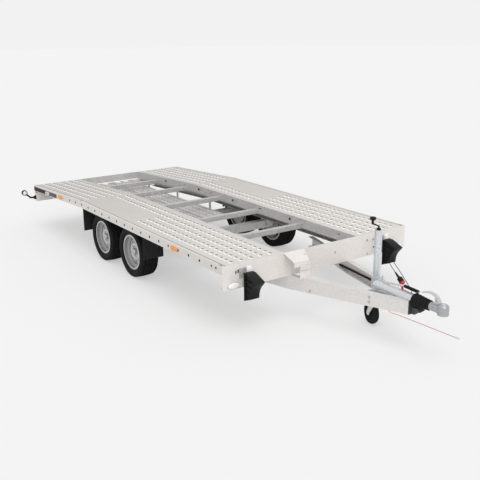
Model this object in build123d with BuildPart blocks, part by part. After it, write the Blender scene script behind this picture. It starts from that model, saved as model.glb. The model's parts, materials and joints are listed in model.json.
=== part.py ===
"""Tandem-axle car transporter trailer with two tread decks and an open centre. Millimetres, +X forward, +Z up."""
import os
from math import atan2, cos, radians, sin, tan

from build123d import *

os.makedirs("parts", exist_ok=True)

# Overall sizes
WIDTH = 2100.0
DECK_HEIGHT = 607.0
FLAT_LENGTH = 2850.0
SLOPE_LENGTH = 1500.0
SLOPE_DROP = 78.0
DRAWBAR_REACH = 1400.0

# Stations along the trailer, with the origin under the middle of its length
LENGTH = SLOPE_LENGTH + FLAT_LENGTH + DRAWBAR_REACH
REAR_X = -LENGTH / 2
KINK_X = REAR_X + SLOPE_LENGTH
FRONT_X = KINK_X + FLAT_LENGTH
NOSE_X = FRONT_X + DRAWBAR_REACH
HALF_WIDTH = WIDTH / 2

# Clearances
SEAT_GAP = 0.3
RUNNING_GAP = 0.05

# Deck frame
SHEET = 4.0
RAIL_HEIGHT = 74.0
RAIL_TOP_WIDTH = 28.0
RAIL_FOOT_WIDTH = 40.0
DECK_SHEET = 3.0
DECK_INNER_Y = 420.0
DECK_SKIRT = 28.0
INNER_BEAM_HEIGHT = 95.0
INNER_BEAM_FLANGE = 40.0
CROSS_TOP_DROP = 46.0
CROSS_HEIGHT = 50.0
CROSS_WIDTH = 50.0
CROSS_WALL = 4.0
CROSS_PITCH = 745.0
CROSS_COUNT = 5
FRONT_CROSS_OFFSET = 800.0
MAIN_BEAM_Y = 600.0
MAIN_BEAM_WIDTH = 50.0
MAIN_BEAM_HEIGHT = 118.0
FRONT_BEAM_HEIGHT = 214.0
FRONT_BEAM_DEPTH = 60.0
FRONT_BEAM_CORNER = 18.0
REAR_BEAM_HEIGHT = 102.0
REAR_BEAM_DEPTH = 60.0

# Wheels and axles
TYRE_RADIUS = 262.0
TYRE_WIDTH = 195.0
TYRE_BEAD_RADIUS = 168.0
TREAD_EDGE = 14.0
RIM_RADIUS = 179.0
RIM_WALL = 5.0
RIM_WIDTH = 150.0
RIM_WELL_RADIUS = 140.0
DISC_OFFSET = 28.0
DISC_WALL = 8.0
TRACK_Y = HALF_WIDTH - 65.0 - TYRE_WIDTH / 2
AXLE_SPACING = 680.0
AXLE_MIDDLE_X = KINK_X + 710.0
AXLE_TUBE = 80.0
AXLE_ARM_REACH = 140.0
AXLE_TUBE_DROP = 225.0
SPINDLE_RADIUS = 20.0

# Drawbar
LEG_WIDTH = 50.0
LEG_TOP_DROP = 190.0
LEG_FRONT_HEIGHT = 104.0
LEG_REAR_HEIGHT = 150.0
LEG_FRONT_Y = 55.0
LEG_FRONT_X = FRONT_X + 1070.0
LEG_SPREAD = 0.286
TUBE_RADIUS = 40.0
HOUSING_REAR_X = LEG_FRONT_X - 400.0
SHAFT_AXIS_Z = DECK_HEIGHT - 180.0


def station(x):
    """Place along the trailer, measured forward from the bend of the deck."""
    return KINK_X + x


def deck_z(x):
    """Height of the deck's top surface at a place along the trailer."""
    return DECK_HEIGHT - max(0.0, KINK_X - x) * SLOPE_DROP / SLOPE_LENGTH


def band_points(x0, x1, top, bottom):
    """Side outline of a member that follows the deck, from top to bottom below its surface."""
    upper = [(x0, deck_z(x0) - top)]
    lower = [(x0, deck_z(x0) - bottom)]
    if x0 < KINK_X < x1:
        upper.append((KINK_X, DECK_HEIGHT - top))
        lower.append((KINK_X, DECK_HEIGHT - bottom))
    upper.append((x1, deck_z(x1) - top))
    lower.append((x1, deck_z(x1) - bottom))
    return upper + lower[::-1]


def add_band(x0, x1, top, bottom, y0, y1, mode=Mode.ADD):
    """Plate or wall that follows the deck, between two widths."""
    with BuildSketch(Plane.XZ.offset(-y1)) as outline:
        with BuildLine():
            Polyline(*band_points(x0, x1, top, bottom), close=True)
        make_face()
    extrude(outline.sketch, amount=y1 - y0, mode=mode)


def add_block(x0, x1, y0, y1, z0, z1, mode=Mode.ADD):
    """Straight block between two corners."""
    with Locations(((x0 + x1) / 2, (y0 + y1) / 2, (z0 + z1) / 2)):
        Box(x1 - x0, y1 - y0, z1 - z0, mode=mode)


def add_rod(start, end, radius, mode=Mode.ADD):
    """Round bar between two points."""
    axis = Vector(*end) - Vector(*start)
    with BuildSketch(Plane(origin=start, z_dir=axis.normalized())) as section:
        Circle(radius)
    extrude(section.sketch, amount=axis.length, mode=mode)


def add_cord(points, diameter, name):
    """Round cord along straight runs joined by tangent arcs; prints its length and its tightest bend."""
    route_points = [Vector(*point) for point in points]
    radii = []
    for before, corner, after in zip(route_points, route_points[1:], route_points[2:]):
        shorter = min((corner - before).length, (after - corner).length)
        half_turn = (corner - before).get_angle(after - corner) / 2
        radii.append(0.45 * shorter / tan(radians(half_turn)))
    with BuildLine() as route:
        FilletPolyline(*points, radius=radii)
    path = route.wires()[0]
    with BuildSketch(Plane(origin=path @ 0, z_dir=path % 0)) as section:
        Circle(diameter / 2)
    sweep(section.sketch, path=path)
    print(name, "length", round(path.length), "tightest radius", round(min(radii), 1), "diameter", diameter)


def save(builder, name):
    """Label a finished piece and write it."""
    builder.part.label = name
    export_step(builder.part, f"parts/{name}.step")


def save_mirrored(builder, name):
    """Write the piece of the other side."""
    with BuildPart() as other:
        add(mirror(builder.part, about=Plane.XZ, mode=Mode.PRIVATE))
    save(other, name)


# Side rails: channel open to the inside, with a top ledge, a foot and a row of lashing holes
RAIL_FRONT_X = FRONT_X - SHEET
HOLE_PITCH = 176.5
HOLE_RADIUS = 9.0
HOLE_DROP = 36.0
FIRST_HOLE_X = station(-320.0)
HOLE_COUNT = 17
SLOT_LENGTH = 45.0
SLOT_WIDTH = 12.0
SLOT_STATIONS = (REAR_X + 60.0, KINK_X - 10.0, FRONT_X - 45.0)

with BuildPart() as side_rail_right:
    add_band(REAR_X, RAIL_FRONT_X, 0, RAIL_HEIGHT, -HALF_WIDTH, -HALF_WIDTH + SHEET)
    add_band(REAR_X, RAIL_FRONT_X, 0, SHEET, -HALF_WIDTH, -HALF_WIDTH + RAIL_TOP_WIDTH)
    add_band(REAR_X, RAIL_FRONT_X, RAIL_HEIGHT - SHEET, RAIL_HEIGHT, -HALF_WIDTH, -HALF_WIDTH + RAIL_FOOT_WIDTH)
    for index in range(HOLE_COUNT):
        hole_x = FIRST_HOLE_X + index * HOLE_PITCH
        hole = (hole_x, -HALF_WIDTH + 2 * SHEET, deck_z(hole_x) - HOLE_DROP)
        add_rod(hole, (hole_x, -HALF_WIDTH - SHEET, hole[2]), HOLE_RADIUS, mode=Mode.SUBTRACT)
    for slot_x in SLOT_STATIONS:
        slot_y = -HALF_WIDTH + RAIL_TOP_WIDTH / 2 + SHEET / 2
        add_block(slot_x - SLOT_LENGTH / 2, slot_x + SLOT_LENGTH / 2, slot_y - SLOT_WIDTH / 2,
                  slot_y + SLOT_WIDTH / 2, deck_z(slot_x) - 3 * SHEET, DECK_HEIGHT + SHEET, mode=Mode.SUBTRACT)
save(side_rail_right, "side_rail_right")
save_mirrored(side_rail_right, "side_rail_left")

# Inner beams: channels along the open centre that carry the decks' inner edges
INNER_SLOT_STATIONS = (-218.0, 394.0, 1366.0, 2612.0)
with BuildPart() as inner_beams:
    inner_y = -DECK_INNER_Y
    add_band(REAR_X, RAIL_FRONT_X, DECK_SHEET, INNER_BEAM_HEIGHT, inner_y - SHEET, inner_y)
    add_band(REAR_X, RAIL_FRONT_X, INNER_BEAM_HEIGHT - SHEET, INNER_BEAM_HEIGHT, inner_y - INNER_BEAM_FLANGE, inner_y)
    add_band(REAR_X, RAIL_FRONT_X, DECK_SHEET, DECK_SHEET + SHEET, inner_y - INNER_BEAM_FLANGE, inner_y)
    for slot_station in INNER_SLOT_STATIONS:
        slot_x = station(slot_station)
        slot_z = deck_z(slot_x) - HOLE_DROP
        add_block(slot_x - 20, slot_x + 20, inner_y - 2 * SHEET, inner_y + SHEET, slot_z - 6, slot_z + 6,
                  mode=Mode.SUBTRACT)
    mirror(about=Plane.XZ)
save(inner_beams, "inner_beams")

# Decks: pressed sheets between the rails and the inner beams
DECK_OUTER_Y = HALF_WIDTH - RAIL_TOP_WIDTH - SEAT_GAP
with BuildPart() as deck_right:
    add_band(REAR_X + SHEET, RAIL_FRONT_X, 0, DECK_SHEET, -DECK_OUTER_Y, -DECK_INNER_Y)
    add_band(REAR_X + SHEET, RAIL_FRONT_X, 0, DECK_SKIRT, -DECK_OUTER_Y, -DECK_OUTER_Y + DECK_SHEET)
save(deck_right, "deck_right")
save_mirrored(deck_right, "deck_left")

# Crossmembers: hollow beams under the decks, in three lengths between the longitudinal beams
FRONT_CROSS_X = FRONT_X - FRONT_CROSS_OFFSET
CROSS_STATIONS = [FRONT_CROSS_X - index * CROSS_PITCH for index in range(CROSS_COUNT)]
OUTRIGGER_INNER_Y = DECK_INNER_Y + INNER_BEAM_FLANGE
OUTRIGGER_OUTER_Y = HALF_WIDTH - RAIL_FOOT_WIDTH


def add_hollow_beam(x_middle, y0, y1, top, height, width, wall):
    """Square tube across the trailer, below the deck's surface, open at its ends."""
    along = Vector(1, 0, deck_z(x_middle + 1) - deck_z(x_middle)).normalized()
    section_plane = Plane(origin=(x_middle, y0, deck_z(x_middle)), x_dir=along, z_dir=(0, 1, 0))
    centre = -(top + height / 2) * along.X * section_plane.y_dir.Z
    with BuildSketch(section_plane.shift_origin(section_plane.origin + section_plane.y_dir * centre)) as section:
        RectangleRounded(width, height, wall)
        Rectangle(width - 2 * wall, height - 2 * wall, mode=Mode.SUBTRACT)
    extrude(section.sketch, amount=y1 - y0)


with BuildPart() as crossmembers:
    for cross_x in CROSS_STATIONS:
        for y0, y1 in ((-DECK_INNER_Y, DECK_INNER_Y), (OUTRIGGER_INNER_Y, OUTRIGGER_OUTER_Y),
                       (-OUTRIGGER_OUTER_Y, -OUTRIGGER_INNER_Y)):
            add_hollow_beam(cross_x, y0, y1, CROSS_TOP_DROP, CROSS_HEIGHT, CROSS_WIDTH, CROSS_WALL)
save(crossmembers, "crossmembers")

# Main beams: deep channels under the crossmembers, one inside each pair of wheels
MAIN_TOP_DROP = CROSS_TOP_DROP + CROSS_HEIGHT
MAIN_REAR_X = REAR_X + REAR_BEAM_DEPTH
MAIN_FRONT_X = FRONT_X - FRONT_BEAM_DEPTH
MAIN_BOTTOM_DROP = MAIN_TOP_DROP + MAIN_BEAM_HEIGHT
with BuildPart() as main_beams:
    for side in (-1, 1):
        web = sorted((side * (MAIN_BEAM_Y + MAIN_BEAM_WIDTH - SHEET), side * (MAIN_BEAM_Y + MAIN_BEAM_WIDTH)))
        flange = sorted((side * MAIN_BEAM_Y, side * (MAIN_BEAM_Y + MAIN_BEAM_WIDTH)))
        add_band(MAIN_REAR_X, MAIN_FRONT_X, MAIN_TOP_DROP, MAIN_BOTTOM_DROP, *web)
        add_band(MAIN_REAR_X, MAIN_FRONT_X, MAIN_TOP_DROP, MAIN_TOP_DROP + SHEET, *flange)
        add_band(MAIN_REAR_X, MAIN_FRONT_X, MAIN_BOTTOM_DROP - SHEET, MAIN_BOTTOM_DROP, *flange)
save(main_beams, "main_beams")

# Front beam: deep channel across the front, its lower corners rounded
with BuildPart() as front_beam:
    with BuildSketch(Plane.YZ.offset(FRONT_X - SHEET)) as face:
        with Locations((0, DECK_HEIGHT - FRONT_BEAM_HEIGHT / 2)):
            Rectangle(WIDTH, FRONT_BEAM_HEIGHT)
        fillet(face.vertices().group_by(Axis.Y)[0], FRONT_BEAM_CORNER)
    extrude(amount=SHEET)
    beam_end_y = HALF_WIDTH - FRONT_BEAM_CORNER
    add_block(FRONT_X - FRONT_BEAM_DEPTH, FRONT_X, -beam_end_y, beam_end_y,
              DECK_HEIGHT - FRONT_BEAM_HEIGHT, DECK_HEIGHT - FRONT_BEAM_HEIGHT + SHEET)
save(front_beam, "front_beam")

# Rear beam: hollow lamp carrier below the rear end, notched where the ramps come out
REAR_TOP_Z = deck_z(REAR_X) - INNER_BEAM_HEIGHT - SEAT_GAP
RAMP_WIDTH = 290.0
RAMP_LENGTH = 2450.0
RAMP_HEIGHT = 40.0
RAMP_TOP_Z = DECK_HEIGHT - 176.0
RAMP_GAP = 10.0
RAMP_CLEARANCE = 6.0
RAMP_REACH = RAMP_WIDTH + RAMP_GAP / 2
RAMP_REAR_X = REAR_X + 12.0
LAMP_DEPTH = 30.0
LAMP_INNER_Y = 700.0
LAMP_OUTER_Y = 1000.0
LAMP_LOW_Z = REAR_TOP_Z - REAR_BEAM_HEIGHT + 14.0
LAMP_HIGH_Z = REAR_TOP_Z - 14.0
NOTCH_Y = RAMP_REACH + RAMP_CLEARANCE
NOTCH_Z = RAMP_TOP_Z - RAMP_HEIGHT - RAMP_CLEARANCE
REAR_BOTTOM_Z = REAR_TOP_Z - REAR_BEAM_HEIGHT
BEAM_FRONT_X = REAR_X + REAR_BEAM_DEPTH
with BuildPart() as rear_beam:
    add_block(REAR_X, BEAM_FRONT_X, -HALF_WIDTH, HALF_WIDTH, REAR_BOTTOM_Z, REAR_TOP_Z)
    add_block(REAR_X - SHEET, BEAM_FRONT_X + SHEET, -NOTCH_Y, NOTCH_Y, NOTCH_Z, REAR_TOP_Z + SHEET, mode=Mode.SUBTRACT)
    add_block(REAR_X + SHEET, BEAM_FRONT_X - SHEET, -HALF_WIDTH + SHEET, HALF_WIDTH - SHEET, REAR_BOTTOM_Z + SHEET,
              NOTCH_Z - SHEET, mode=Mode.SUBTRACT)
    for side in (-1, 1):
        hollow_y = sorted((side * (NOTCH_Y + SHEET), side * (HALF_WIDTH - SHEET)))
        add_block(REAR_X + SHEET, BEAM_FRONT_X - SHEET, *hollow_y, REAR_BOTTOM_Z + SHEET, REAR_TOP_Z - SHEET,
                  mode=Mode.SUBTRACT)
        lamp_y = sorted((side * (LAMP_INNER_Y - SEAT_GAP), side * (LAMP_OUTER_Y + SEAT_GAP)))
        add_block(REAR_X - SHEET, REAR_X + 2 * SHEET, *lamp_y, LAMP_LOW_Z - SEAT_GAP, LAMP_HIGH_Z + SEAT_GAP,
                  mode=Mode.SUBTRACT)
        hanger_y = sorted((side * (HALF_WIDTH - RAIL_FOOT_WIDTH), side * (HALF_WIDTH - SHEET - SEAT_GAP)))
        add_block(REAR_X, REAR_X + SHEET, *hanger_y, REAR_TOP_Z - SHEET, deck_z(REAR_X) - RAIL_HEIGHT)
save(rear_beam, "rear_beam")

# Deck end strip across the rear, between the rails and above the ramps
with BuildPart() as deck_end:
    add_block(REAR_X, REAR_X + SHEET, SEAT_GAP - DECK_INNER_Y, DECK_INNER_Y - SEAT_GAP,
              deck_z(REAR_X) - INNER_BEAM_HEIGHT + RAMP_CLEARANCE, deck_z(REAR_X))
save(deck_end, "deck_end")

# Ramps: two trays that slide out over the rear beam
RAMP_WALL = 4.0
with BuildPart() as ramp_right:
    ramp_low = -RAMP_REACH
    ramp_high = -RAMP_GAP / 2
    ramp_z0 = RAMP_TOP_Z - RAMP_HEIGHT
    add_block(RAMP_REAR_X, RAMP_REAR_X + RAMP_LENGTH, ramp_low, ramp_high, ramp_z0, RAMP_TOP_Z)
    add_block(RAMP_REAR_X - 1, RAMP_REAR_X + RAMP_LENGTH + 1, ramp_low + RAMP_WALL, ramp_high - RAMP_WALL,
              ramp_z0 - 1, RAMP_TOP_Z - RAMP_WALL, mode=Mode.SUBTRACT)
save(ramp_right, "ramp_right")
save_mirrored(ramp_right, "ramp_left")

# Ramp hangers: straps under three crossmembers that the ramps slide in
STRAP = 3.0
HANGER_WIDTH = 40.0
HANGER_STATIONS = CROSS_STATIONS[2:5]
with BuildPart() as ramp_hangers:
    for hanger_x in HANGER_STATIONS:
        strap_top = deck_z(hanger_x - HANGER_WIDTH / 2) - MAIN_TOP_DROP - SEAT_GAP
        strap_z = RAMP_TOP_Z - RAMP_HEIGHT - SEAT_GAP - STRAP
        x0, x1 = hanger_x - HANGER_WIDTH / 2, hanger_x + HANGER_WIDTH / 2
        outer = RAMP_REACH + SEAT_GAP + STRAP
        add_block(x0, x1, -outer, outer, strap_z, strap_z + STRAP)
        for side in (-1, 1):
            add_block(x0, x1, *sorted((side * outer, side * (outer - STRAP))), strap_z, strap_top)
save(ramp_hangers, "ramp_hangers")


# Wheels: low tyres on deep-set steel discs, each with its hub and brake drum
WHEEL_NAMES = {"front_right": (1, -1), "front_left": (1, 1), "rear_right": (-1, -1), "rear_left": (-1, 1)}
TYRE_CROWN = 6.0
TYRE_WALL = 20.0
FLANGE_INNER_Y = RIM_WIDTH / 2
FLANGE_THICKNESS = 5.0
DRUM_RADIUS = 122.0
DRUM_LENGTH = 62.0
HUB_RADIUS = 32.0
HUB_REACH = 28.0
VENT_RADIUS = 11.0
VENT_RING_RADIUS = 107.0
VENT_COUNT = 10


def wheel_plane(place):
    """Plane through the wheel's middle, its X outward from the trailer and its Y up."""
    fore, side = place
    origin = (AXLE_MIDDLE_X + fore * AXLE_SPACING / 2, side * TRACK_Y, TYRE_RADIUS)
    return Plane(origin=origin, x_dir=(0, side, 0), z_dir=(side, 0, 0))


for wheel_name, wheel_place in WHEEL_NAMES.items():
    middle = wheel_plane(wheel_place)
    spin_axis = Axis(middle.origin, middle.x_dir)
    half = TYRE_WIDTH / 2
    bead_y = FLANGE_INNER_Y - SEAT_GAP
    shoulder = (half - TREAD_EDGE, TYRE_RADIUS - TYRE_CROWN)
    with BuildPart() as tyre:
        with BuildSketch(middle) as section:
            with BuildLine():
                Polyline((0, TYRE_RADIUS), (0, TYRE_RADIUS - TYRE_WALL), (half - 24, TYRE_RADIUS - TYRE_WALL - 4),
                         (bead_y - 16, RIM_RADIUS + 8), (bead_y - 16, TYRE_BEAD_RADIUS), (bead_y, TYRE_BEAD_RADIUS),
                         (bead_y, RIM_RADIUS + 2), (bead_y + 8, RIM_RADIUS + 5))
                ThreePointArc((bead_y + 8, RIM_RADIUS + 5), (half, (RIM_RADIUS + TYRE_RADIUS) / 2), shoulder)
                ThreePointArc(shoulder, (half / 2, TYRE_RADIUS - TYRE_CROWN / 4), (0, TYRE_RADIUS))
            make_face()
            mirror(about=Plane.YZ)
        revolve(section.sketch, axis=spin_axis)
    save(tyre, f"tyre_{wheel_name}")

    with BuildPart() as disc:
        with BuildSketch(middle) as section:
            with BuildLine():
                seat = TYRE_BEAD_RADIUS - SEAT_GAP
                lip = FLANGE_INNER_Y + FLANGE_THICKNESS
                Polyline((lip, RIM_RADIUS), (FLANGE_INNER_Y, RIM_RADIUS), (FLANGE_INNER_Y, seat),
                         (FLANGE_INNER_Y - 30, seat), (FLANGE_INNER_Y - 45, RIM_WELL_RADIUS + RIM_WALL),
                         (40 - FLANGE_INNER_Y, RIM_WELL_RADIUS + RIM_WALL), (25 - FLANGE_INNER_Y, seat),
                         (-FLANGE_INNER_Y, seat), (-FLANGE_INNER_Y, RIM_RADIUS), (-lip, RIM_RADIUS),
                         (-lip, seat - RIM_WALL), (22 - FLANGE_INNER_Y, seat - RIM_WALL),
                         (38 - FLANGE_INNER_Y, RIM_WELL_RADIUS), (DISC_OFFSET - 18, RIM_WELL_RADIUS))
                Line((DISC_OFFSET - 18, RIM_WELL_RADIUS), (DISC_OFFSET - 5, 122))
                Line((DISC_OFFSET - 5, 122), (DISC_OFFSET - 2, 92))
                ThreePointArc((DISC_OFFSET - 2, 92), (DISC_OFFSET + 9, 68), (DISC_OFFSET - 12, 58))
                Polyline((DISC_OFFSET - 12, 58), (DISC_OFFSET - 12, HUB_RADIUS), (DISC_OFFSET - 2, HUB_RADIUS),
                         (DISC_OFFSET - 2, 54))
                ThreePointArc((DISC_OFFSET - 2, 54), (DISC_OFFSET + 17, 68), (DISC_OFFSET + 5, 94))
                Polyline((DISC_OFFSET + 5, 94), (DISC_OFFSET + 3, 125), (DISC_OFFSET - 9, RIM_WELL_RADIUS),
                         (FLANGE_INNER_Y - 43, RIM_WELL_RADIUS), (FLANGE_INNER_Y - 28, seat - RIM_WALL),
                         (lip, seat - RIM_WALL), (lip, RIM_RADIUS))
            make_face()
        revolve(section.sketch, axis=spin_axis)
        with Locations(Plane(origin=middle.origin, x_dir=(0, 0, 1), z_dir=middle.x_dir)):
            with PolarLocations(VENT_RING_RADIUS, VENT_COUNT):
                Cylinder(VENT_RADIUS, 2 * FLANGE_INNER_Y, mode=Mode.SUBTRACT)
    save(disc, f"wheel_{wheel_name}")

    with BuildPart() as drum:
        with BuildSketch(middle) as section:
            with BuildLine():
                Polyline((DISC_OFFSET - 12 - SEAT_GAP, 0), (DISC_OFFSET - 12 - SEAT_GAP, 60), (0, 60), (0, DRUM_RADIUS - 8),
                         (-8, DRUM_RADIUS), (-DRUM_LENGTH, DRUM_RADIUS), (-DRUM_LENGTH, SPINDLE_RADIUS + 12),
                         (-DRUM_LENGTH + 20, SPINDLE_RADIUS + 12), (-DRUM_LENGTH + 20, SPINDLE_RADIUS + RUNNING_GAP),
                         (-10, SPINDLE_RADIUS + RUNNING_GAP), (-10, 0), close=True)
            make_face()
        revolve(section.sketch, axis=spin_axis)
        with Locations(Plane(origin=middle.origin + middle.x_dir * (DISC_OFFSET - 12 - SEAT_GAP), z_dir=middle.x_dir)):
            Cylinder(HUB_RADIUS - SEAT_GAP, HUB_REACH + DISC_WALL + SEAT_GAP, align=(Align.CENTER, Align.CENTER, Align.MIN))
    save(drum, f"drum_{wheel_name}")

# Axles: square torsion tubes with a trailing arm, back plate and spindle at each end
ARM_INNER_Y = 690.0
ARM_THICKNESS = 30.0
BACK_PLATE = 6.0
for axle_name, fore in (("axle_front", 1), ("axle_rear", -1)):
    wheel_x = AXLE_MIDDLE_X + fore * AXLE_SPACING / 2
    tube_x = wheel_x + AXLE_ARM_REACH
    tube_z = DECK_HEIGHT - AXLE_TUBE_DROP - AXLE_TUBE / 2
    with BuildPart() as axle:
        add_block(tube_x - AXLE_TUBE / 2, tube_x + AXLE_TUBE / 2, -ARM_INNER_Y, ARM_INNER_Y,
                  tube_z - AXLE_TUBE / 2, tube_z + AXLE_TUBE / 2)
        for side in (-1, 1):
            arm_tilt = Vector(tube_x - wheel_x, 0, tube_z - TYRE_RADIUS)
            arm_plane = Plane(origin=((tube_x + wheel_x) / 2, side * ARM_INNER_Y, (tube_z + TYRE_RADIUS) / 2),
                              x_dir=arm_tilt, z_dir=(0, side, 0))
            with BuildSketch(arm_plane) as arm:
                SlotCenterToCenter(arm_tilt.length, 60)
            extrude(arm.sketch, amount=ARM_THICKNESS)
            end_y = side * (ARM_INNER_Y + ARM_THICKNESS)
            drum_y = side * (TRACK_Y - DRUM_LENGTH)
            add_rod((wheel_x, end_y, TYRE_RADIUS), (wheel_x, side * (TRACK_Y - 10.5), TYRE_RADIUS), SPINDLE_RADIUS)
            add_rod((wheel_x, drum_y - side * (BACK_PLATE + 4), TYRE_RADIUS), (wheel_x, drum_y - side * 4, TYRE_RADIUS),
                    DRUM_RADIUS + 6)
        for side in (-1, 1):
            bracket_y = sorted((side * (MAIN_BEAM_Y + 4), side * (MAIN_BEAM_Y + 12)))
            add_block(tube_x - 55, tube_x + 55, *bracket_y, tube_z - 20, DECK_HEIGHT - MAIN_BOTTOM_DROP)
            add_block(tube_x - 55, tube_x + 55, side * 625 - 25, side * 625 + 25,
                      DECK_HEIGHT - MAIN_BOTTOM_DROP - 6, DECK_HEIGHT - MAIN_BOTTOM_DROP)
    save(axle, axle_name)

# Mudflaps: a stiff flap ahead of and behind each pair of wheels, its flange under the rail's foot
FLAP_OUTER_Y = HALF_WIDTH - 12.0
FLAP_INNER_Y = 820.0
FLAP_WALL = 4.0
FLAP_FLANGE = 34.0
FLAP_CHAMFER = 30.0
FLAP_TOP_Z = DECK_HEIGHT - RAIL_HEIGHT - SEAT_GAP
FLAP_PLACES = ((AXLE_MIDDLE_X + 740.0, DECK_HEIGHT - 312.0, -1), (AXLE_MIDDLE_X - 682.0, DECK_HEIGHT - 337.0, 1))
with BuildPart() as mudflaps:
    for flap_x, flap_bottom, toward_wheel in FLAP_PLACES:
        with BuildSketch(Plane.YZ.offset(flap_x)) as flap:
            with BuildLine():
                Polyline((-FLAP_OUTER_Y, FLAP_TOP_Z), (-FLAP_INNER_Y - FLAP_CHAMFER, FLAP_TOP_Z),
                         (-FLAP_INNER_Y, FLAP_TOP_Z - FLAP_CHAMFER), (-FLAP_INNER_Y, flap_bottom),
                         (-FLAP_OUTER_Y, flap_bottom), close=True)
            make_face()
        extrude(flap.sketch, amount=FLAP_WALL)
        flange_x = sorted((flap_x, flap_x + toward_wheel * FLAP_FLANGE))
        add_block(*flange_x, -FLAP_OUTER_Y, RAIL_FOOT_WIDTH - HALF_WIDTH, FLAP_TOP_Z - FLAP_WALL, FLAP_TOP_Z)
    mirror(about=Plane.XZ)
save(mudflaps, "mudflaps")

# Drawbar legs: tapered channels from under the main beams to the overrun tube, open to the inside
LEG_ANGLE = atan2(LEG_SPREAD, 1.0)
LEG_RUN = 1880.0
LEG_LENGTH = LEG_RUN / cos(LEG_ANGLE)
LEG_WALL = 5.0
LEG_SEAT_Z = DECK_HEIGHT - FRONT_BEAM_HEIGHT - SEAT_GAP
leg_bend = (LEG_FRONT_X - FRONT_X) / cos(LEG_ANGLE)


def leg_outline(inset):
    """Side outline of a leg, measured back along it from its front end."""
    top_front = DECK_HEIGHT - LEG_TOP_DROP
    front_low = top_front - LEG_FRONT_HEIGHT
    rear_low = LEG_SEAT_Z - LEG_REAR_HEIGHT + 26.0
    return [(0, top_front - inset), (leg_bend, LEG_SEAT_Z - inset), (LEG_LENGTH, LEG_SEAT_Z - inset),
            (LEG_LENGTH, LEG_SEAT_Z - LEG_FRONT_HEIGHT + inset), (leg_bend, rear_low + inset), (0, front_low + inset)]


with BuildPart() as drawbar_legs:
    back_along = (-cos(LEG_ANGLE), -sin(LEG_ANGLE), 0)
    outward = (sin(LEG_ANGLE), -cos(LEG_ANGLE), 0)
    outer_plane = Plane(origin=(LEG_FRONT_X, -LEG_FRONT_Y, 0), x_dir=back_along, z_dir=tuple(-v for v in outward))
    up = outer_plane.y_dir.Z
    for inset, depth, mode in ((0, 0, Mode.ADD), (LEG_WALL, LEG_WALL, Mode.SUBTRACT)):
        with BuildSketch(outer_plane.offset(depth)) as side_face:
            with BuildLine():
                Polyline(*[(s, up * z) for s, z in leg_outline(inset)], close=True)
            make_face()
        extrude(side_face.sketch, amount=LEG_WIDTH, mode=mode)
    add_rod((HOUSING_REAR_X - 5, 0, SHAFT_AXIS_Z), (LEG_FRONT_X + 50, 0, SHAFT_AXIS_Z), TUBE_RADIUS + SEAT_GAP,
            mode=Mode.SUBTRACT)
    mirror(about=Plane.XZ)
save(drawbar_legs, "drawbar_legs")

# Brake conduit along the inside of the left leg
CONDUIT_RADIUS = 9.0
CONDUIT_FRONT = 490.0
CONDUIT_REAR = 1310.0
CONDUIT_FRONT_Z = DECK_HEIGHT - 255.0
CONDUIT_REAR_Z = DECK_HEIGHT - 318.0
conduit_depth = LEG_WALL + CONDUIT_RADIUS + SEAT_GAP
conduit_origin = (LEG_FRONT_X + sin(LEG_ANGLE) * -conduit_depth, LEG_FRONT_Y - cos(LEG_ANGLE) * conduit_depth)


def conduit_point(distance, height):
    """Place on the conduit, measured back along the leg."""
    return (conduit_origin[0] - cos(LEG_ANGLE) * distance, conduit_origin[1] + sin(LEG_ANGLE) * distance, height)


with BuildPart() as brake_conduit:
    add_rod(conduit_point(CONDUIT_FRONT, CONDUIT_FRONT_Z), conduit_point(CONDUIT_REAR, CONDUIT_REAR_Z),
            CONDUIT_RADIUS)
save(brake_conduit, "brake_conduit")

# Overrun tube between the legs' front ends, with a cross plate behind and a black end plate in front
SHAFT_RADIUS = 22.0
TUBE_WALL = 6.0
TUBE_BUSH = 30.0
END_PLATE = 8.0
BELLOWS_X = LEG_FRONT_X + END_PLATE + SEAT_GAP
CROSS_PLATE_X = HOUSING_REAR_X + 20.0
cross_plate_y = LEG_FRONT_Y - LEG_WIDTH / cos(LEG_ANGLE) + LEG_SPREAD * (LEG_FRONT_X - CROSS_PLATE_X - TUBE_WALL)
with BuildPart() as overrun_housing:
    add_rod((HOUSING_REAR_X, 0, SHAFT_AXIS_Z), (BELLOWS_X - SEAT_GAP, 0, SHAFT_AXIS_Z), TUBE_RADIUS)
    add_block(CROSS_PLATE_X, CROSS_PLATE_X + TUBE_WALL, -cross_plate_y, cross_plate_y,
              SHAFT_AXIS_Z - 70, SHAFT_AXIS_Z - 14)
    add_rod((HOUSING_REAR_X + TUBE_WALL, 0, SHAFT_AXIS_Z), (BELLOWS_X - TUBE_BUSH, 0, SHAFT_AXIS_Z),
            TUBE_RADIUS - TUBE_WALL, mode=Mode.SUBTRACT)
    add_rod((HOUSING_REAR_X + TUBE_WALL, 0, SHAFT_AXIS_Z), (BELLOWS_X + TUBE_WALL, 0, SHAFT_AXIS_Z),
            SHAFT_RADIUS + RUNNING_GAP, mode=Mode.SUBTRACT)
save(overrun_housing, "overrun_housing")

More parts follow.
